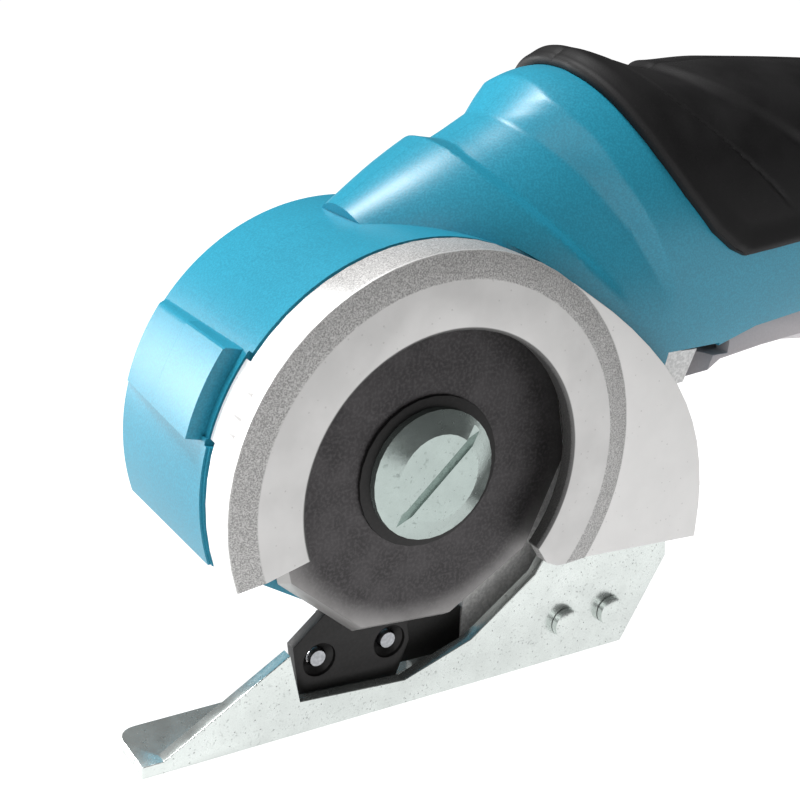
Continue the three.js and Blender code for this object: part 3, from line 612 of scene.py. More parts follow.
class Workshop:
    """Holds the frame and the finishes, and registers finished pieces."""

    def __init__(self, frame: dict) -> None:
        """Keeps the frame and notes which body each node is on."""
        self.nodes = frame["nodes"]
        self.paint = Paintbox()
        groups = frame["record"]["behaviour"]["bodies"]
        self.body_of = {node: body for body, members in groups.items() for node in members}
        rows = frame["record"]["subparts"]
        self.slot_of = {row["node"]: row["material_slot"] for row in rows}

    def register(self, piece: bpy.types.Object, finish: object, *nodes: str) -> None:
        """Dresses a piece, names it after its first node, and lets it stand for its nodes.

        Args:
            piece: the finished piece.
            finish: its finish.
            nodes: the nodes that it replaces, all on one body.
        """
        piece.name = nodes[0] + ".look"
        piece.data.name = piece.name
        dress(piece, self.paint.get(finish))
        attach(piece, self.body_of[nodes[0]])
        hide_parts(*nodes)
        LOG.info("%s: %d faces", piece.name, len(piece.data.polygons))

    def recolour(self, finish: object, *nodes: str) -> None:
        """Gives carried-over nodes a procedural finish."""
        for node in nodes:
            for slot in self.nodes[node].material_slots:
                slot.material = self.paint.get(finish)

    def copy_of(self, node: str) -> bpy.types.Object:
        """Returns a merged copy of a node's mesh with its flat faces made whole."""
        made = new_object(node + ".copy", self.nodes[node].data.copy())
        shape = bmesh.new()
        shape.from_mesh(made.data)
        bmesh.ops.remove_doubles(shape, verts=shape.verts, dist=2e-6)
        bmesh.ops.dissolve_limit(shape, angle_limit=math.radians(0.6), verts=shape.verts,
                                 edges=shape.edges)
        shape.to_mesh(made.data)
        shape.free()
        return made

    def eased(self, node: str, width: float, segments: int = 2, angle: float = 28.0,
              ) -> bpy.types.Object:
        """Copies a node and eases its sharp edges.

        Args:
            node: the node.
            width: width of the eased edge, mm.
            segments: facets across it.
            angle: edges sharper than this are eased, degrees.

        Returns:
            The refined copy.
        """
        made = self.copy_of(node)
        bevel = made.modifiers.new("ease", "BEVEL")
        bevel.limit_method = "ANGLE"
        bevel.angle_limit = math.radians(angle)
        bevel.width = width * MM
        bevel.segments = segments
        bevel.use_clamp_overlap = True
        apply_modifiers(made)
        return smooth(made, 32)


# ---------------------------------------------------------------- housing and grip


@dataclass(frozen=True)
class Station:
    """One cross-section of the barrel: a leaning rounded oval, mm and degrees."""

    x: float
    z: float
    height: float
    width: float
    lean: float
    power: float


@dataclass(frozen=True)
class Barrel:
    """The smooth body from the drum to the battery flange."""

    stations: tuple[Station, ...] = (
        Station(8, 46.6, 31.8, 14, 26, 2.2),
        Station(19, 51.8, 33.4, 18.4, 28, 2.2),
        Station(30, 57, 34.2, 20.4, 29, 2.2),
        Station(45.5, 64.7, 33.8, 21.2, 28.5, 2.2),
        Station(61, 67.2, 30.2, 21.2, 30, 2.25),
        Station(84.5, 69.4, 25.6, 20.4, 24, 2.3),
        Station(110, 69.6, 22.5, 19.6, 12, 2.3),
        Station(140, 68.6, 21.8, 19, 4, 2.3),
        Station(172, 66.4, 21.8, 18.8, 0, 2.4),
        Station(196, 62.6, 24.4, 19.8, 0, 2.8),
        Station(210, 56.6, 33.4, 23.6, 0, 4),
        Station(221.5, 52.5, 38.5, 25, 0, 5),
    )
    step_in: float = 1.8            # depth of the channel round the nose, mm
    step_out: float = 0.6           # rise behind the channel, mm

    @property
    def last(self) -> float:
        """The station number of the rear end."""
        return float(len(self.stations) - 1)

    def section(self, u: np.ndarray) -> list[np.ndarray]:
        """Interpolates the six section values at station number u."""
        table = np.array([[s.x, s.z, s.height, s.width, s.lean, s.power] for s in self.stations])
        base = np.clip(np.floor(u).astype(int), 0, len(table) - 2)
        f = (u - base)[..., None]
        a, b, c, d = (table[np.clip(base + k, 0, len(table) - 1)] for k in (-1, 0, 1, 2))
        value = 0.5 * (2 * b + (c - a) * f + (2 * a - 5 * b + 4 * c - d) * f ** 2
                       + (3 * b - a - 3 * c + d) * f ** 3)
        return [value[..., k] for k in range(6)]

    def point(self, u: np.ndarray, theta: np.ndarray, grow: np.ndarray | float) -> np.ndarray:
        """Returns points on the body.

        Args:
            u: station number.
            theta: angle round the section, radians; a quarter turn is the top.
            grow: distance outwards from the plain body, mm.

        Returns:
            An array of (x, y, z) in mm.
        """
        x, z, height, width, lean, power = self.section(u)
        lean = np.radians(lean)
        sine, cosine = np.sin(theta), np.cos(theta)
        up = (height + grow) * np.sign(sine) * np.abs(sine) ** (2 / power)
        side = (width + grow) * np.sign(cosine) * np.abs(cosine) ** (2 / power)
        return np.stack([x - np.sin(lean) * up, MID_Y + side, z + np.cos(lean) * up], -1)

    def relief(self, at: np.ndarray) -> np.ndarray:
        """Returns how far the channel and the step behind it move the surface, mm."""
        x, z = at[..., 0], at[..., 2]
        drop_from = np.interp(z, (62, 72.4, 77.4, 81.1, 84.5), (34.2, 22.2, 16.2, 11.8, 8.9))
        drop_to = np.interp(z, (62.3, 73.3, 79.9, 84.6), (35.4, 23.8, 16.5, 11.6))
        rise_from = np.interp(z, (64, 74.6, 84.8, 89.7), (41.8, 34.6, 24.4, 18.6))
        rise_to = np.interp(z, (64, 69.1, 74.6, 81, 86.6, 91), (43.8, 41, 37.5, 33, 29.8, 25.4))
        fade = smoothstep(z, 58, 76)
        drop = np.clip((x - drop_from) / (drop_to - drop_from), 0, 1)
        rise = np.clip((x - rise_from) / (rise_to - rise_from), 0, 1)
        crest = 0.4 * (1 - drop)
        return fade * (crest - self.step_in * drop + (self.step_in + self.step_out) * rise)

    def solid(self, grow: float, last: float, columns: np.ndarray, around: int, carved: bool,
              ) -> bpy.types.Object:
        """Makes the body as one closed solid.

        Args:
            grow: distance outwards, mm.
            last: station number where it ends.
            columns: station numbers of its rings.
            around: points round each ring.
            carved: whether the channel is carved.

        Returns:
            The solid.
        """
        rings = np.append(columns[columns < last], last)
        theta = 2 * np.pi * (np.arange(around) + 0.5) / around
        u, t = np.meshgrid(rings, theta, indexing="ij")
        extra = self.relief(self.point(u, t, 0.0)) if carved else 0.0
        points = self.point(u, t, grow + extra).reshape(-1, 3)
        faces = [list(range(around)), list(range((len(rings) - 1) * around, len(rings) * around))]
        for i in range(len(rings) - 1):
            for k in range(around):
                a, b = i * around + k, i * around + (k + 1) % around
                faces.append((a, b, b + around, a + around))
        return mesh_object("barrel", points, faces)


def smoothstep(value: np.ndarray, low: np.ndarray | float, high: np.ndarray | float) -> np.ndarray:
    """Rises smoothly from 0 at low to 1 at high."""
    share = np.clip((value - low) / (high - low), 0, 1)
    return share * share * (3 - 2 * share)


@dataclass
class Housing:
    """Both halves of the moulded housing."""

    shop: Workshop
    barrel: Barrel
    drum_r: float = 34.6
    drum_near: float = 1.3
    drum_far: float = 31.0
    drum_wall: float = 2.5
    drum_edge: float = 1.3
    band_r: float = 37.3
    band_from: float = 143.5
    band_to: float = 166.5
    wall: float = 2.4
    fine_to: float = 3.2            # station number where the finely divided front ends
    columns: int = 150              # rings in that front
    rear_columns: int = 84
    around: int = 132
    seat_y: float = 29.8            # Y of the seats under the screw heads

    def drum(self, grow: float, near: float, far: float, edge: float) -> bpy.types.Object:
        """Makes the round nose, its far edge rounded over."""
        r = self.drum_r + grow
        corner = [(r - edge + edge * math.cos(a), far - edge + edge * math.sin(a))
                  for a in np.linspace(0, math.pi / 2, 9)] if edge else [(r, far)]
        return turned([(0, near), (r, near), *corner, (0, far)])

    def pad(self, start: float, end: float, near: float, far: float, near_r: float, far_r: float,
            ramp: float = 0.0, steps: int = 28) -> bpy.types.Object:
        """Makes a curved pad about the blade's axis whose radius changes from near to far.

        Args:
            start: angle of its upper end, degrees.
            end: angle of its lower end, degrees.
            near: Y of its near face.
            far: Y of its far face.
            near_r: outer radius at the near face.
            far_r: outer radius at the far face.
            ramp: angle over which the upper end rises, degrees.
            steps: facets round.

        Returns:
            The closed solid.
        """
        root = self.drum_r - 2
        angles = np.linspace(start, end, steps + 1)
        if ramp:
            rising = start + ramp * np.linspace(0, 1, 6)[:-1]
            angles = np.concatenate([rising, angles[angles > start + ramp]])
        points = []
        for angle in angles:
            rise = float(smoothstep(np.array(angle - start), -0.01, ramp)) if ramp else 1.0
            a = math.radians(angle)
            low = self.drum_r - 0.05
            for r, y in ((root, near), (low + (near_r - low) * rise, near),
                         (low + (far_r - low) * rise, far), (root, far)):
                points.append((r * math.cos(a), y, AXIS_Z + r * math.sin(a)))
        count = len(angles)
        faces = [(0, 1, 2, 3), tuple(4 * (count - 1) + k for k in (3, 2, 1, 0))]
        faces += [(4 * i + k, 4 * i + (k + 1) % 4, 4 * i + 4 + (k + 1) % 4, 4 * i + 4 + k)
                  for i in range(count - 1) for k in range(4)]
        return mesh_object("pad", points, faces)

    def band(self) -> bpy.types.Object:
        """Makes the raised pad on the nose, with the slightly lower field below it."""
        upper = self.pad(self.band_from, self.band_to, 3.8, 29.6, self.band_r, 35.2, 2.4)
        lower = self.pad(self.band_to - 1.2, 199, 1.8, 29.7, 35.0, 34.95)
        return joined([upper, lower])

    def lower_cut(self, lift: float) -> bpy.types.Object:
        """Makes the solid that opens the nose below, where the shoe and the blade pass."""
        line = [(-60, 29.5), (-33.1, 29.5), (-16.5, 19.6), (-6, 14.4), (6, 13.4), (14, 18.6),
                (30, 20), (46, 26)]
        return prism([*((x, z + lift) for x, z in line), (46, -5), (-60, -5)], -20, 60)

    def openings(self) -> list[bpy.types.Object]:
        """Makes everything that is cut from the shell."""
        foot = [(11.7, 4.3), (48.3, 4.3), (48.3, 22.3), (34.3, 36.3), (11.7, 36.3)]
        belly = [(45, 44), (50.5, 48.8), (55.5, 51.2), (65.5, 54.5), (78.5, 56), (95, 56.6), (115, 56),
                 (135, 54), (180.1, 52), (180.1, 0), (45, 0)]
        notch = [*arc(38, 143.2, 166.9, 13), *arc(31.3, 166.9, 143.2, 13)]
        cuts = [
            # the guard's room, and the notch where its rim widens
            disc(self.drum_r + 0.6, -30, self.drum_near + 0.03, 0, AXIS_Z, 150),
            prism(notch, -10, 2.43),
            # the wheel blade, the shoe's plate and the shoe's bracket
            block((-30, -30, -5), (12, 2.5, 20)),
            block((10, -30, -5), (52, 1.9, 30)),
            prism(foot, -20, 5.3),
            # the paddle lever, the open belly round it, the gear case's lug and the lever's pin
            block((57.2, MID_Y - 16.2, 10), (180, MID_Y + 16.2, 58)),
            prism(belly, -21, 61),
            block((45.5, -8, 43), (57.6, 11.6, 52.4)),
            disc(2.15, MID_Y - 19.5, MID_Y + 19.5, *LEVER_PIVOT),
            # the battery's tongue in its rails, and the terminal block
            block((215.5, MID_Y - 16.5, -10), (219, MID_Y + 16.5, 80)),
            block((218.5, MID_Y - 13.9, -12), (224, MID_Y + 13.9, 79.9)),
            block((203.7, MID_Y - 14.3, 51.7), (216.2, MID_Y + 14.3, 76.3)),
        ]
        bore = [(0, 6), (1.35, 6), (1.35, self.seat_y), (3.3, self.seat_y), (3.3, 60), (0, 60)]
        return cuts + [turned(bore, x, z, 32) for x, z in SCREWS]

    def shell(self) -> bpy.types.Object:
        """Makes the whole hollow shell."""
        fine = np.concatenate([np.linspace(0, self.fine_to, self.columns),
                               np.linspace(self.fine_to + 0.05, self.barrel.last, self.rear_columns)])
        coarse = np.linspace(0, self.barrel.last, 60)
        body = self.barrel.solid(0, self.barrel.last, fine, self.around, True)
        outer = joined([body, self.drum(0, self.drum_near, self.drum_far, self.drum_edge), self.band()])
        combine(outer, self.lower_cut(0), Op.CUT)
        inside = self.barrel.solid(-self.wall - 1.5, self.barrel.last - 1, coarse, 64, False)
        inner = joined([inside, self.drum(-self.drum_wall, -20, self.drum_far - self.drum_wall, 0)])
        combine(inner, self.lower_cut(1.6), Op.CUT)
        combine(outer, inner, Op.CUT)
        for cutter in self.openings():
            combine(outer, cutter, Op.CUT)
        return outer

    def build(self) -> None:
        """Splits the shell at the parting plane and registers both halves."""
        shell = self.shell()
        for node, low, high in (("housing_near", -60, MID_Y - PARTING_GAP),
                                ("housing_far", MID_Y + PARTING_GAP, 100)):
            half = new_object(node, shell.data.copy())
            combine(half, block((-100, low, -100), (400, high, 300)), Op.KEEP)
            self.shop.register(smooth(half, 28), TEAL, node)
        bpy.data.objects.remove(shell)


@dataclass
class GripRubber:
    """The two halves of the soft grip on top of the barrel."""

    shop: Workshop
    barrel: Barrel
    thickness: float = 1.8
    edge: float = 1.5               # radius of the rounded border, mm
    foot: float = 0.12              # the rubber's inner face stands this far off the plain body
    rear: float = 192.5
    lip: float = 2.9                # height of the hump at the front, mm
    long_steps: int = 230
    round_steps: int = 92
    search_steps: int = 40          # halvings in the search for a border
    screw_hole_r: float = 3.6

    def front_x(self, z: np.ndarray) -> np.ndarray:
        """Returns the X of the front border at a height."""
        heights = (66.8, 67.9, 69.2, 72.2, 78, 83.5, 88, 91.7, 94.3)
        return np.interp(z, heights, (62, 57.4, 54.2, 49.8, 44.1, 39.6, 36.4, 34.0, 32.2))

    def lower_z(self, x: np.ndarray) -> np.ndarray:
        """Returns the height of the lower border at X."""
        places = (50, 56, 71.3, 105, 150, 184, 190, 194)
        return np.interp(x, places, (68, 67.8, 69.4, 69.4, 68.2, 65.8, 67.4, 72))

    def lower_theta(self, u: np.ndarray) -> np.ndarray:
        """Finds the angle of the lower border at each station number."""
        low = np.full_like(u, np.pi / 2)
        high = np.full_like(u, np.radians(235))
        for _ in range(self.search_steps):
            mid = (low + high) / 2
            at = self.barrel.point(u, mid, 0.0)
            above = at[..., 2] > self.lower_z(at[..., 0])
            low = np.where(above, mid, low)
            high = np.where(above, high, mid)
        return low

    def border_u(self, t: np.ndarray, ahead: Callable[[np.ndarray], np.ndarray], low: float,
                 high: float) -> np.ndarray:
        """Finds the station number where each row meets a border.

        Args:
            t: row, from 0 at the top to 1 at the lower border.
            ahead: says of each point whether it lies in front of the border.
            low: station number surely in front.
            high: station number surely behind.

        Returns:
            The station numbers.
        """
        front = np.full_like(t, low)
        back = np.full_like(t, high)
        for _ in range(self.search_steps):
            mid = (front + back) / 2
            theta = np.pi / 2 + t * (self.lower_theta(mid) - np.pi / 2)
            before = ahead(self.barrel.point(mid, theta, 0.0))
            front = np.where(before, mid, front)
            back = np.where(before, back, mid)
        return front

    def shape(self, at: np.ndarray, theta: np.ndarray) -> np.ndarray:
        """Returns the extra height of the hump, the saddle and the pad, mm."""
        x, z = at[..., 0], at[..., 2]
        top = np.exp(-((theta - np.pi / 2) / 0.75) ** 2)
        hump = self.lip * smoothstep(x, 27, 35) * (1 - smoothstep(x, 38, 53))
        crest = 0.9 * smoothstep(x, 55, 68) * (1 - smoothstep(x, 96, 125))
        line = np.interp(z, (76, 80, 88, 95, 99), (92, 79, 64, 50, 44))
        pad = 1.2 * smoothstep(x, line - 1.6, line + 1.6)
        seam = np.interp(z, (74, 77.5, 94, 99), (68, 64, 42.5, 37))
        groove = 0.45 * np.exp(-((x - seam) / 0.5) ** 2) * smoothstep(z, 74, 78)
        return top * (hump + crest) + pad - 0.9 - groove

    def build(self) -> None:
        """Makes and registers both halves."""
        s = np.linspace(0, 1, self.long_steps)
        s = s ** 1.5 * (1 - 0.02 * s) + 0.02 * s ** 2
        t = 1 - (1 - np.linspace(0, 1, self.round_steps)) ** 1.25
        front = self.border_u(t, lambda at: at[..., 0] < self.front_x(at[..., 2]), 1.0, 6.0)
        rear = self.border_u(t, lambda at: at[..., 0] < self.rear, 7.0, self.barrel.last)
        u = front[None, :] + s[:, None] * (rear - front)[None, :]
        theta = np.pi / 2 + t[None, :] * (self.lower_theta(u) - np.pi / 2)
        flat = self.barrel.point(u, theta, 0.0)
        border = np.concatenate([flat[0], flat[-1], flat[:, -1]])
        away = np.min(np.linalg.norm(flat[:, :, None, :] - border[None, None, :, :], axis=-1), -1)
        share = 1 - np.clip(away / self.edge, 0, 1)
        profile = np.sqrt(np.clip(1 - share ** 2, 0, 1))
        part = np.exp(-((flat[..., 1] - MID_Y) / 0.45) ** 2)
        relief = self.barrel.relief(flat)
        thick = self.thickness + self.shape(flat, theta) * smoothstep(away, 0.3, 5.0) - 0.3 * part
        inner = self.barrel.point(u, theta, self.foot + relief)
        outer = self.barrel.point(u, theta, self.foot + 0.02 + relief + thick * profile)
        outer[:, 0, 1] = inner[:, 0, 1] = MID_Y - PARTING_GAP
        self.half("grip_rubber_near", inner, outer, 1.0)
        self.half("grip_rubber_far", inner, outer, -1.0)

    def half(self, node: str, inner: np.ndarray, outer: np.ndarray, side: float) -> None:
        """Closes one half between its inner and outer faces.

        Args:
            node: the node that it stands for.
            inner: grid of points on the inner face, mm.
            outer: grid of points on the outer face, mm.
            side: 1 on the blade side and -1 on the far side.
        """
        rows, around = inner.shape[:2]
        count = rows * around
        points = np.concatenate([inner.reshape(-1, 3), outer.reshape(-1, 3)])
        points[:, 1] = MID_Y + side * (points[:, 1] - MID_Y)
        faces = []
        for i in range(rows - 1):
            for k in range(around - 1):
                a = i * around + k
                faces.append((a, a + around, a + around + 1, a + 1))
                faces.append((count + a, count + a + 1, count + a + around + 1, count + a + around))
        rim = list(range(around))
        rim += [i * around + around - 1 for i in range(1, rows)]
        rim += [(rows - 1) * around + k for k in range(around - 2, -1, -1)]
        rim += [i * around for i in range(rows - 2, 0, -1)]
        for a, b in zip(rim, rim[1:] + rim[:1]):
            faces.append((a, b, count + b, count + a))
        piece = mesh_object(node, points, faces)
        if side < 0:
            for x, z in SCREWS[:3]:
                combine(piece, disc(self.screw_hole_r, 20, 60, x, z, 48), Op.CUT)
        self.shop.register(smooth(piece, 50), RUBBER, node)


# ---------------------------------------------------------------- repeated pieces by geometry nodes


class NodeTree:
    """A small geometry node tree with named inputs."""

    def __init__(self, name: str, sizes: dict[str, float]) -> None:
        """Starts a tree.

        Args:
            name: the tree's name.
            sizes: its named inputs in metres or counts.
        """
        self.tree = bpy.data.node_groups.new(name, "GeometryNodeTree")
        face = self.tree.interface
        face.new_socket("Geometry", in_out="OUTPUT", socket_type="NodeSocketGeometry")
        face.new_socket("Places", in_out="INPUT", socket_type="NodeSocketGeometry")
        for key in sizes:
            face.new_socket(key, in_out="INPUT", socket_type="NodeSocketFloat")
        face.new_socket("Finish", in_out="INPUT", socket_type="NodeSocketMaterial")
        self.inputs = self.tree.nodes.new("NodeGroupInput")
        self.sizes = sizes

    def add(self, kind: str, settings: dict | None = None, inputs: dict | None = None,
            output: int | str = 0) -> bpy.types.NodeSocket:
        """Adds one node and returns the output that is wanted."""
        made = self.tree.nodes.new(kind)
        for key, value in (settings or {}).items():
            setattr(made, key, value)
        for key, value in (inputs or {}).items():
            values = value if isinstance(value, list) else [value]
            for one in values:
                if isinstance(one, bpy.types.NodeSocket):
                    self.tree.links.new(one, made.inputs[key])
                else:
                    made.inputs[key].default_value = one
        return made.outputs[output]

    def size(self, name: str) -> bpy.types.NodeSocket:
        """Returns a named input."""
        return self.inputs.outputs[name]

    def scatter(self, shape: bpy.types.NodeSocket) -> None:
        """Puts the shape on every vertex of the places, and ends the tree."""
        at = self.add("GeometryNodeMeshToPoints", inputs={0: self.size("Places")})
        many = self.add("GeometryNodeInstanceOnPoints", inputs={"Points": at, "Instance": shape})
        real = self.add("GeometryNodeRealizeInstances", inputs={0: many})
        done = self.add("GeometryNodeSetMaterial", inputs={
            "Geometry": real, "Material": self.size("Finish")})
        output = self.tree.nodes.new("NodeGroupOutput")
        self.tree.links.new(done, output.inputs[0])

    def run(self, name: str, places: Sequence[Sequence[float]], material: bpy.types.Material,
            ) -> bpy.types.Object:
        """Runs the tree on places in millimetres and returns a plain mesh piece."""
        mesh = bpy.data.meshes.new(name)
        mesh.from_pydata([[c * MM for c in p] for p in places], [], [])
        piece = new_object(name, mesh)
        modifier = piece.modifiers.new("repeat", "NODES")
        modifier.node_group = self.tree
        for item in self.tree.interface.items_tree:
            if item.in_out == "INPUT" and item.name in self.sizes:
                modifier[item.identifier] = self.sizes[item.name]
            elif item.in_out == "INPUT" and item.name == "Finish":
                modifier[item.identifier] = material
        return apply_modifiers(piece)


@dataclass(frozen=True)
class Stud:
    """A headed pin or screw along Y, repeated by geometry nodes; sizes in mm."""

    name: str
    head_r: float
    head_h: float
    crown: float                    # share of the head's radius that stays flat on top
    shank_r: float
    shank: float
    recess: float = 0.0             # width of a cross recess, none if 0
    turn: float = -90.0             # degrees about X: -90 points the head to -Y, 90 to +Y

    def make(self, places: Sequence[Sequence[float]], material: bpy.types.Material,
             ) -> bpy.types.Object:
        """Makes one stud at each place, a place being the underside of its head.

        Args:
            places: points in mm.
            material: the studs' material.

        Returns:
            One piece with all of them.
        """
        sizes = {"Head Radius": self.head_r * MM, "Head Height": self.head_h * MM,
                 "Crown Radius": self.head_r * self.crown * MM, "Shank Radius": self.shank_r * MM,
                 "Shank Length": self.shank * MM}
        t = NodeTree(self.name, sizes)
        drum = t.add("GeometryNodeMeshCylinder", inputs={
            "Vertices": 48, "Radius": t.size("Head Radius"), "Depth": t.size("Head Height")})
        raised = t.add("GeometryNodeTransform", inputs={
            "Geometry": drum, "Translation": (0, 0, self.head_h * MM * 0.5)})
        dome = t.add("GeometryNodeMeshCone", inputs={
            "Vertices": 48, "Radius Top": t.size("Crown Radius"), "Radius Bottom": t.size("Head Radius"),
            "Depth": self.head_h * MM * 0.3})
        capped = t.add("GeometryNodeTransform", inputs={
            "Geometry": dome, "Translation": (0, 0, self.head_h * MM * 0.999)})
        rod = t.add("GeometryNodeMeshCylinder", inputs={
            "Vertices": 32, "Radius": t.size("Shank Radius"), "Depth": t.size("Shank Length")})
        sunk = t.add("GeometryNodeTransform", inputs={
            "Geometry": rod, "Translation": (0, 0, -self.shank * MM * 0.499)})
        body = t.add("GeometryNodeMeshBoolean", {"operation": "UNION"}, {1: [raised, capped, sunk]})
        if self.recess:
            reach = self.head_r * 1.15 * MM
            bars = [t.add("GeometryNodeMeshCube", inputs={"Size": size}) for size in (
                (reach, self.recess * MM, self.head_h * MM * 1.4),
                (self.recess * MM, reach, self.head_h * MM * 1.4))]
            lifted = [t.add("GeometryNodeTransform", inputs={
                "Geometry": bar, "Translation": (0, 0, self.head_h * MM * 1.2)}) for bar in bars]
            body = t.add("GeometryNodeMeshBoolean", {"operation": "DIFFERENCE"}, {0: body, 1: lifted})
        turned_body = t.add("GeometryNodeTransform", inputs={
            "Geometry": body, "Rotation": (math.radians(-self.turn), 0, 0)})
        t.scatter(turned_body)
        return smooth(t.run(self.name, places, material), 34)


@dataclass(frozen=True)
class RibRow:
    """A row of small rounded ribs, repeated by geometry nodes; sizes in mm."""

    name: str
    length: float
    radius: float

    def make(self, places: Sequence[Sequence[float]], material: bpy.types.Material,
             ) -> bpy.types.Object:
        """Makes one round-ended rib along X at each place."""
        t = NodeTree(self.name, {"Rib Radius": self.radius * MM})
        span = self.length * MM
        bar = t.add("GeometryNodeMeshCylinder", inputs={
            "Vertices": 16, "Radius": t.size("Rib Radius"), "Depth": span})
        lying = t.add("GeometryNodeTransform", inputs={"Geometry": bar, "Rotation": (0, math.pi / 2, 0)})
        balls = []
        for side in (-0.5, 0.5):
            ball = t.add("GeometryNodeMeshUVSphere", inputs={
                "Segments": 16, "Rings": 8, "Radius": t.size("Rib Radius")})
            balls.append(t.add("GeometryNodeTransform", inputs={
                "Geometry": ball, "Translation": (side * span, 0, 0)}))
        body = t.add("GeometryNodeMeshBoolean", {"operation": "UNION"}, {1: [lying, *balls]})
        t.scatter(body)
        return smooth(t.run(self.name, places, material), 50)


# ---------------------------------------------------------------- cutting head


@dataclass
class CuttingHead:
    """Guard, wheel blade, bolt, shoe and fixed blade."""

    shop: Workshop
    bolt_facets: int = 8
    bolt_bevel: float = 2.6         # width of the bolt head's faceted edge, mm
    bolt_drop: float = 1.5          # depth of that edge, mm
    rim_r: float = 34.62            # radius that the guard's rim is trimmed to, mm
    rim_from: float = 139           # the trimmed stretch, degrees about the blade's axis
    rim_to: float = 171
    pin_seat: float = -2.3          # Y of the seats under the shoe pins' heads, mm

    def guard(self) -> None:
        """Makes the die-cast guard with eased edges and a plain round rim."""
        guard = self.shop.eased("guard_cover", 0.35, 3)
        inside = arc(self.rim_r, self.rim_from, self.rim_to, 32)
        over = prism([*inside, *arc(42, self.rim_to, self.rim_from, 16)], -5.9, 6)
        combine(guard, over, Op.CUT)
        self.shop.register(smooth(guard, 30), CASTING, "guard_cover")

    def blades(self) -> None:
        """Makes the wheel blade and the fixed blade."""
        self.shop.register(self.shop.eased("rotary_blade", 0.1, 2, 12), BLADE, "rotary_blade")
        self.shop.register(self.shop.eased("fixed_blade", 0.18), OXIDE, "fixed_blade")

    def bolt(self) -> None:
        """Makes the slotted bolt and its washer."""
        low, high = (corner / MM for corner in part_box("blade_bolt"))
        rim = (high.x - low.x) / 2
        far = (rim + 0.4) / math.cos(math.pi / self.bolt_facets)
        face = low.y - 0.01
        cone = turned([(0, face), (rim - self.bolt_bevel, face), (far, low.y + self.bolt_drop),
                       (far, high.y + 1), (0, high.y + 1)], segments=self.bolt_facets)
        bolt = combine(self.shop.copy_of("blade_bolt"), cone, Op.KEEP)
        self.shop.register(smooth(bolt, 20), BOLT_ZINC, "blade_bolt")
        self.shop.register(self.shop.eased("outer_flange", 0.12), OXIDE, "outer_flange")

    def shoe(self) -> None:
        """Makes the folded shoe."""
        self.shop.register(self.shop.eased("shoe", 0.22, 3), ZINC, "shoe")

    def pins(self) -> None:
        """Makes the two shoe pins."""
        low, high = zip(*(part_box(n) for n in ("shoe_pin_front", "shoe_pin_rear")))
        places = [((a.x + b.x) / 2 / MM, self.pin_seat, (a.z + b.z) / 2 / MM) for a, b in zip(low, high)]
        reach = (high[0].y / MM - self.pin_seat) * 0.99
        stud = Stud("shoe_pins", 2.5, 1.05, 0.72, 1.2, reach)
        self.shop.register(stud.make(places, self.shop.paint.get(ZINC)), ZINC,
                           "shoe_pin_front", "shoe_pin_rear")

    def build(self) -> None:
        """Makes the whole head."""
        self.guard()
        self.blades()
        self.bolt()
        self.shoe()
        self.pins()
        self.shop.recolour(OXIDE, "shoe_bracket")
        self.shop.recolour(PLAIN_CAST, "gear_case")
        self.shop.recolour(STEEL, "fixed_blade_screw_front", "fixed_blade_screw_rear")


@dataclass
class DriveTrain:
    """Gears, bearings and motor inside the housing: true shapes, better finishes."""

    shop: Workshop
    steel: tuple[str, ...] = (
        "inner_flange", "spindle", "spindle_gear", "spindle_bearing_near", "spindle_bearing_far",
        "idler_shaft", "idler_pinion", "idler_bearing", "bevel_wheel", "bevel_pinion",
        "drive_bearing", "planet_carrier", "planet_gear_1", "planet_gear_2", "planet_gear_3",
        "ring_gear", "motor_shaft", "armature", "lever_pin", "lever_spring")
    black: tuple[str, ...] = ("magnet_near", "magnet_far", "brush_upper", "brush_lower")

    def build(self) -> None:
        """Dresses the nodes."""
        self.shop.recolour(STEEL, *self.steel)
        self.shop.recolour(OXIDE, *self.black)
        self.shop.recolour(COPPER, "idler_bush", "commutator")
        self.shop.recolour(ZINC, "motor_can")
        self.shop.recolour(BLACK, "motor_end_cap", "switch_body", "terminal_block")
        self.shop.recolour(GREY, "switch_plunger")
        self.shop.recolour(FILM, "battery_cell_1", "battery_cell_2", "battery_cell_3")


@dataclass
class Controls:
    """Paddle lever, lock-off slider and housing screws."""

    shop: Workshop
    screw_seat: float = 30.1        # Y of the underside of the screw heads, mm
    screw_shank: float = 22.9

    def build(self) -> None:
        """Makes and registers the pieces."""
        self.shop.register(self.shop.eased("paddle_lever", 0.6, 3), GREY, "paddle_lever")
        self.shop.register(self.shop.eased("lock_off_slider", 0.3, 2), BLACK, "lock_off_slider")
        names = [f"housing_screw_{i + 1}" for i in range(len(SCREWS))]
        boxes = [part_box(name) for name in names]
        places = [((a.x + b.x) / 2 / MM, self.screw_seat, (a.z + b.z) / 2 / MM) for a, b in boxes]
        stud = Stud("housing_screws", 2.8, 1.3, 0.8, 1.25, self.screw_shank, 0.7, 90)
        self.shop.register(stud.make(places, self.shop.paint.get(ZINC)), ZINC, *names)


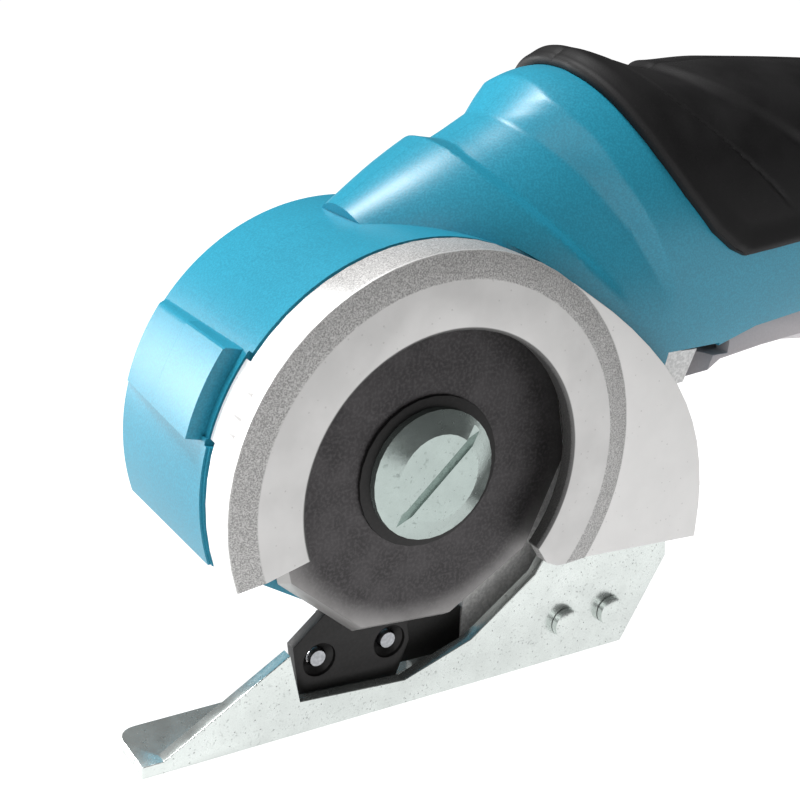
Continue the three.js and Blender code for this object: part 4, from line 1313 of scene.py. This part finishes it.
@dataclass
class Battery:
    """Battery cases and latch buttons."""

    shop: Workshop
    ribs: int = 6
    rib_r: float = 0.45
    rib_sink: float = 0.12          # depth of a rib's axis below the button's face, mm
    rib_margin: float = 3.0         # from the button's ends to the first and the last rib, mm

    def build(self) -> None:
        """Makes and registers the pieces."""
        for node in ("battery_front_case", "battery_rear_case"):
            self.shop.register(self.shop.eased(node, 0.7, 3), BLACK, node)
        for node, side in (("battery_latch_near", -1), ("battery_latch_far", 1)):
            low, high = (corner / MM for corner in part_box(node))
            face = low.y if side < 0 else high.y
            middle = (low.x + high.x) / 2
            axis_y = face - side * self.rib_sink
            heights = np.linspace(low.z + self.rib_margin, high.z - self.rib_margin, self.ribs)
            places = [(middle, axis_y, float(height)) for height in heights]
            ribs = RibRow(node + "_ribs", high.x - low.x - 4, self.rib_r)
            button = self.shop.eased(node, 0.4, 3)
            piece = combine(button, ribs.make(places, self.shop.paint.get(BLACK)), Op.JOIN)
            self.shop.register(smooth(piece, 34), BLACK, node)


# ---------------------------------------------------------------- stage


@dataclass
class Studio:
    """Pale floor, soft lights and the camera."""

    camera_at: tuple[float, float, float] = (-109.2, -158.3, 121.1)
    right: tuple[float, float, float] = (0.8449, -0.5312, 0.0637)
    up: tuple[float, float, float] = (0.1350, 0.3268, 0.9354)
    back: tuple[float, float, float] = (-0.5177, -0.7817, 0.3478)
    lens: float = 63.0

    def floor(self) -> None:
        """Makes the pale floor."""
        g = Graph("pale_floor")
        g.set(Base_Color=(0.2, 0.2, 0.2), Roughness=0.9, Emission_Color=(1, 1, 1),
              Emission_Strength=1.0)
        floor = mesh_object("floor", [(-4000, -4000, -0.4), (4000, -4000, -0.4), (4000, 4000, -0.4),
                                      (-4000, 4000, -0.4)], [(0, 1, 2, 3)])
        floor.data.materials.append(g.material)

    def lamp(self, name: str, at: Sequence[float], size: float, power: float,
             aim: Sequence[float] = (0.05, 0.01, 0.05)) -> None:
        """Adds one square soft light.

        Args:
            name: its name.
            at: its place, metres.
            size: its side, metres.
            power: its power, watts.
            aim: the point that it faces.
        """
        data = bpy.data.lights.new(name, "AREA")
        data.size = size
        data.energy = power
        lamp = bpy.data.objects.new(name, data)
        lamp.location = at
        lamp.rotation_euler = (Vector(aim) - Vector(at)).to_track_quat("-Z", "Y").to_euler()
        bpy.context.scene.collection.objects.link(lamp)

    def build(self) -> None:
        """Makes the stage and the camera."""
        self.floor()
        world = bpy.data.worlds.new("studio")
        world.use_nodes = True
        background = world.node_tree.nodes["Background"]
        background.inputs["Color"].default_value = (1, 1, 1, 1)
        background.inputs["Strength"].default_value = 0.08
        scene = bpy.context.scene
        scene.world = world
        self.lamp("key", (-0.18, 0.12, 0.58), 0.18, 4.2, (0.02, 0.01, 0.06))
        self.lamp("back_left", (-0.45, 0.55, 0.14), 0.25, 4.6, (-0.02, 0.01, 0.04))
        self.lamp("front", (-0.50, -0.60, 0.45), 0.5, 1.6)
        scene.view_settings.view_transform = "Standard"
        data = bpy.data.cameras.new("camera")
        data.lens = self.lens
        data.sensor_width = 36.0
        data.clip_start = 0.01
        camera = bpy.data.objects.new("camera", data)
        turn = Matrix((self.right, self.up, self.back)).transposed()
        camera.matrix_world = Matrix.Translation(Vector(self.camera_at) * MM) @ turn.to_4x4()
        scene.collection.objects.link(camera)
        scene.camera = camera


def main() -> None:
    """Builds every sub-assembly around the frame."""
    logging.basicConfig(level=logging.INFO, format="%(name)s %(message)s")
    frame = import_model()
    shop = Workshop(frame)
    barrel = Barrel()
    Studio().build()
    for assembly in (Housing(shop, barrel), GripRubber(shop, barrel), CuttingHead(shop),
                     DriveTrain(shop), Controls(shop), Battery(shop)):
        assembly.build()
        LOG.info("%s done", type(assembly).__name__)


if __name__ == "__main__":
    main()
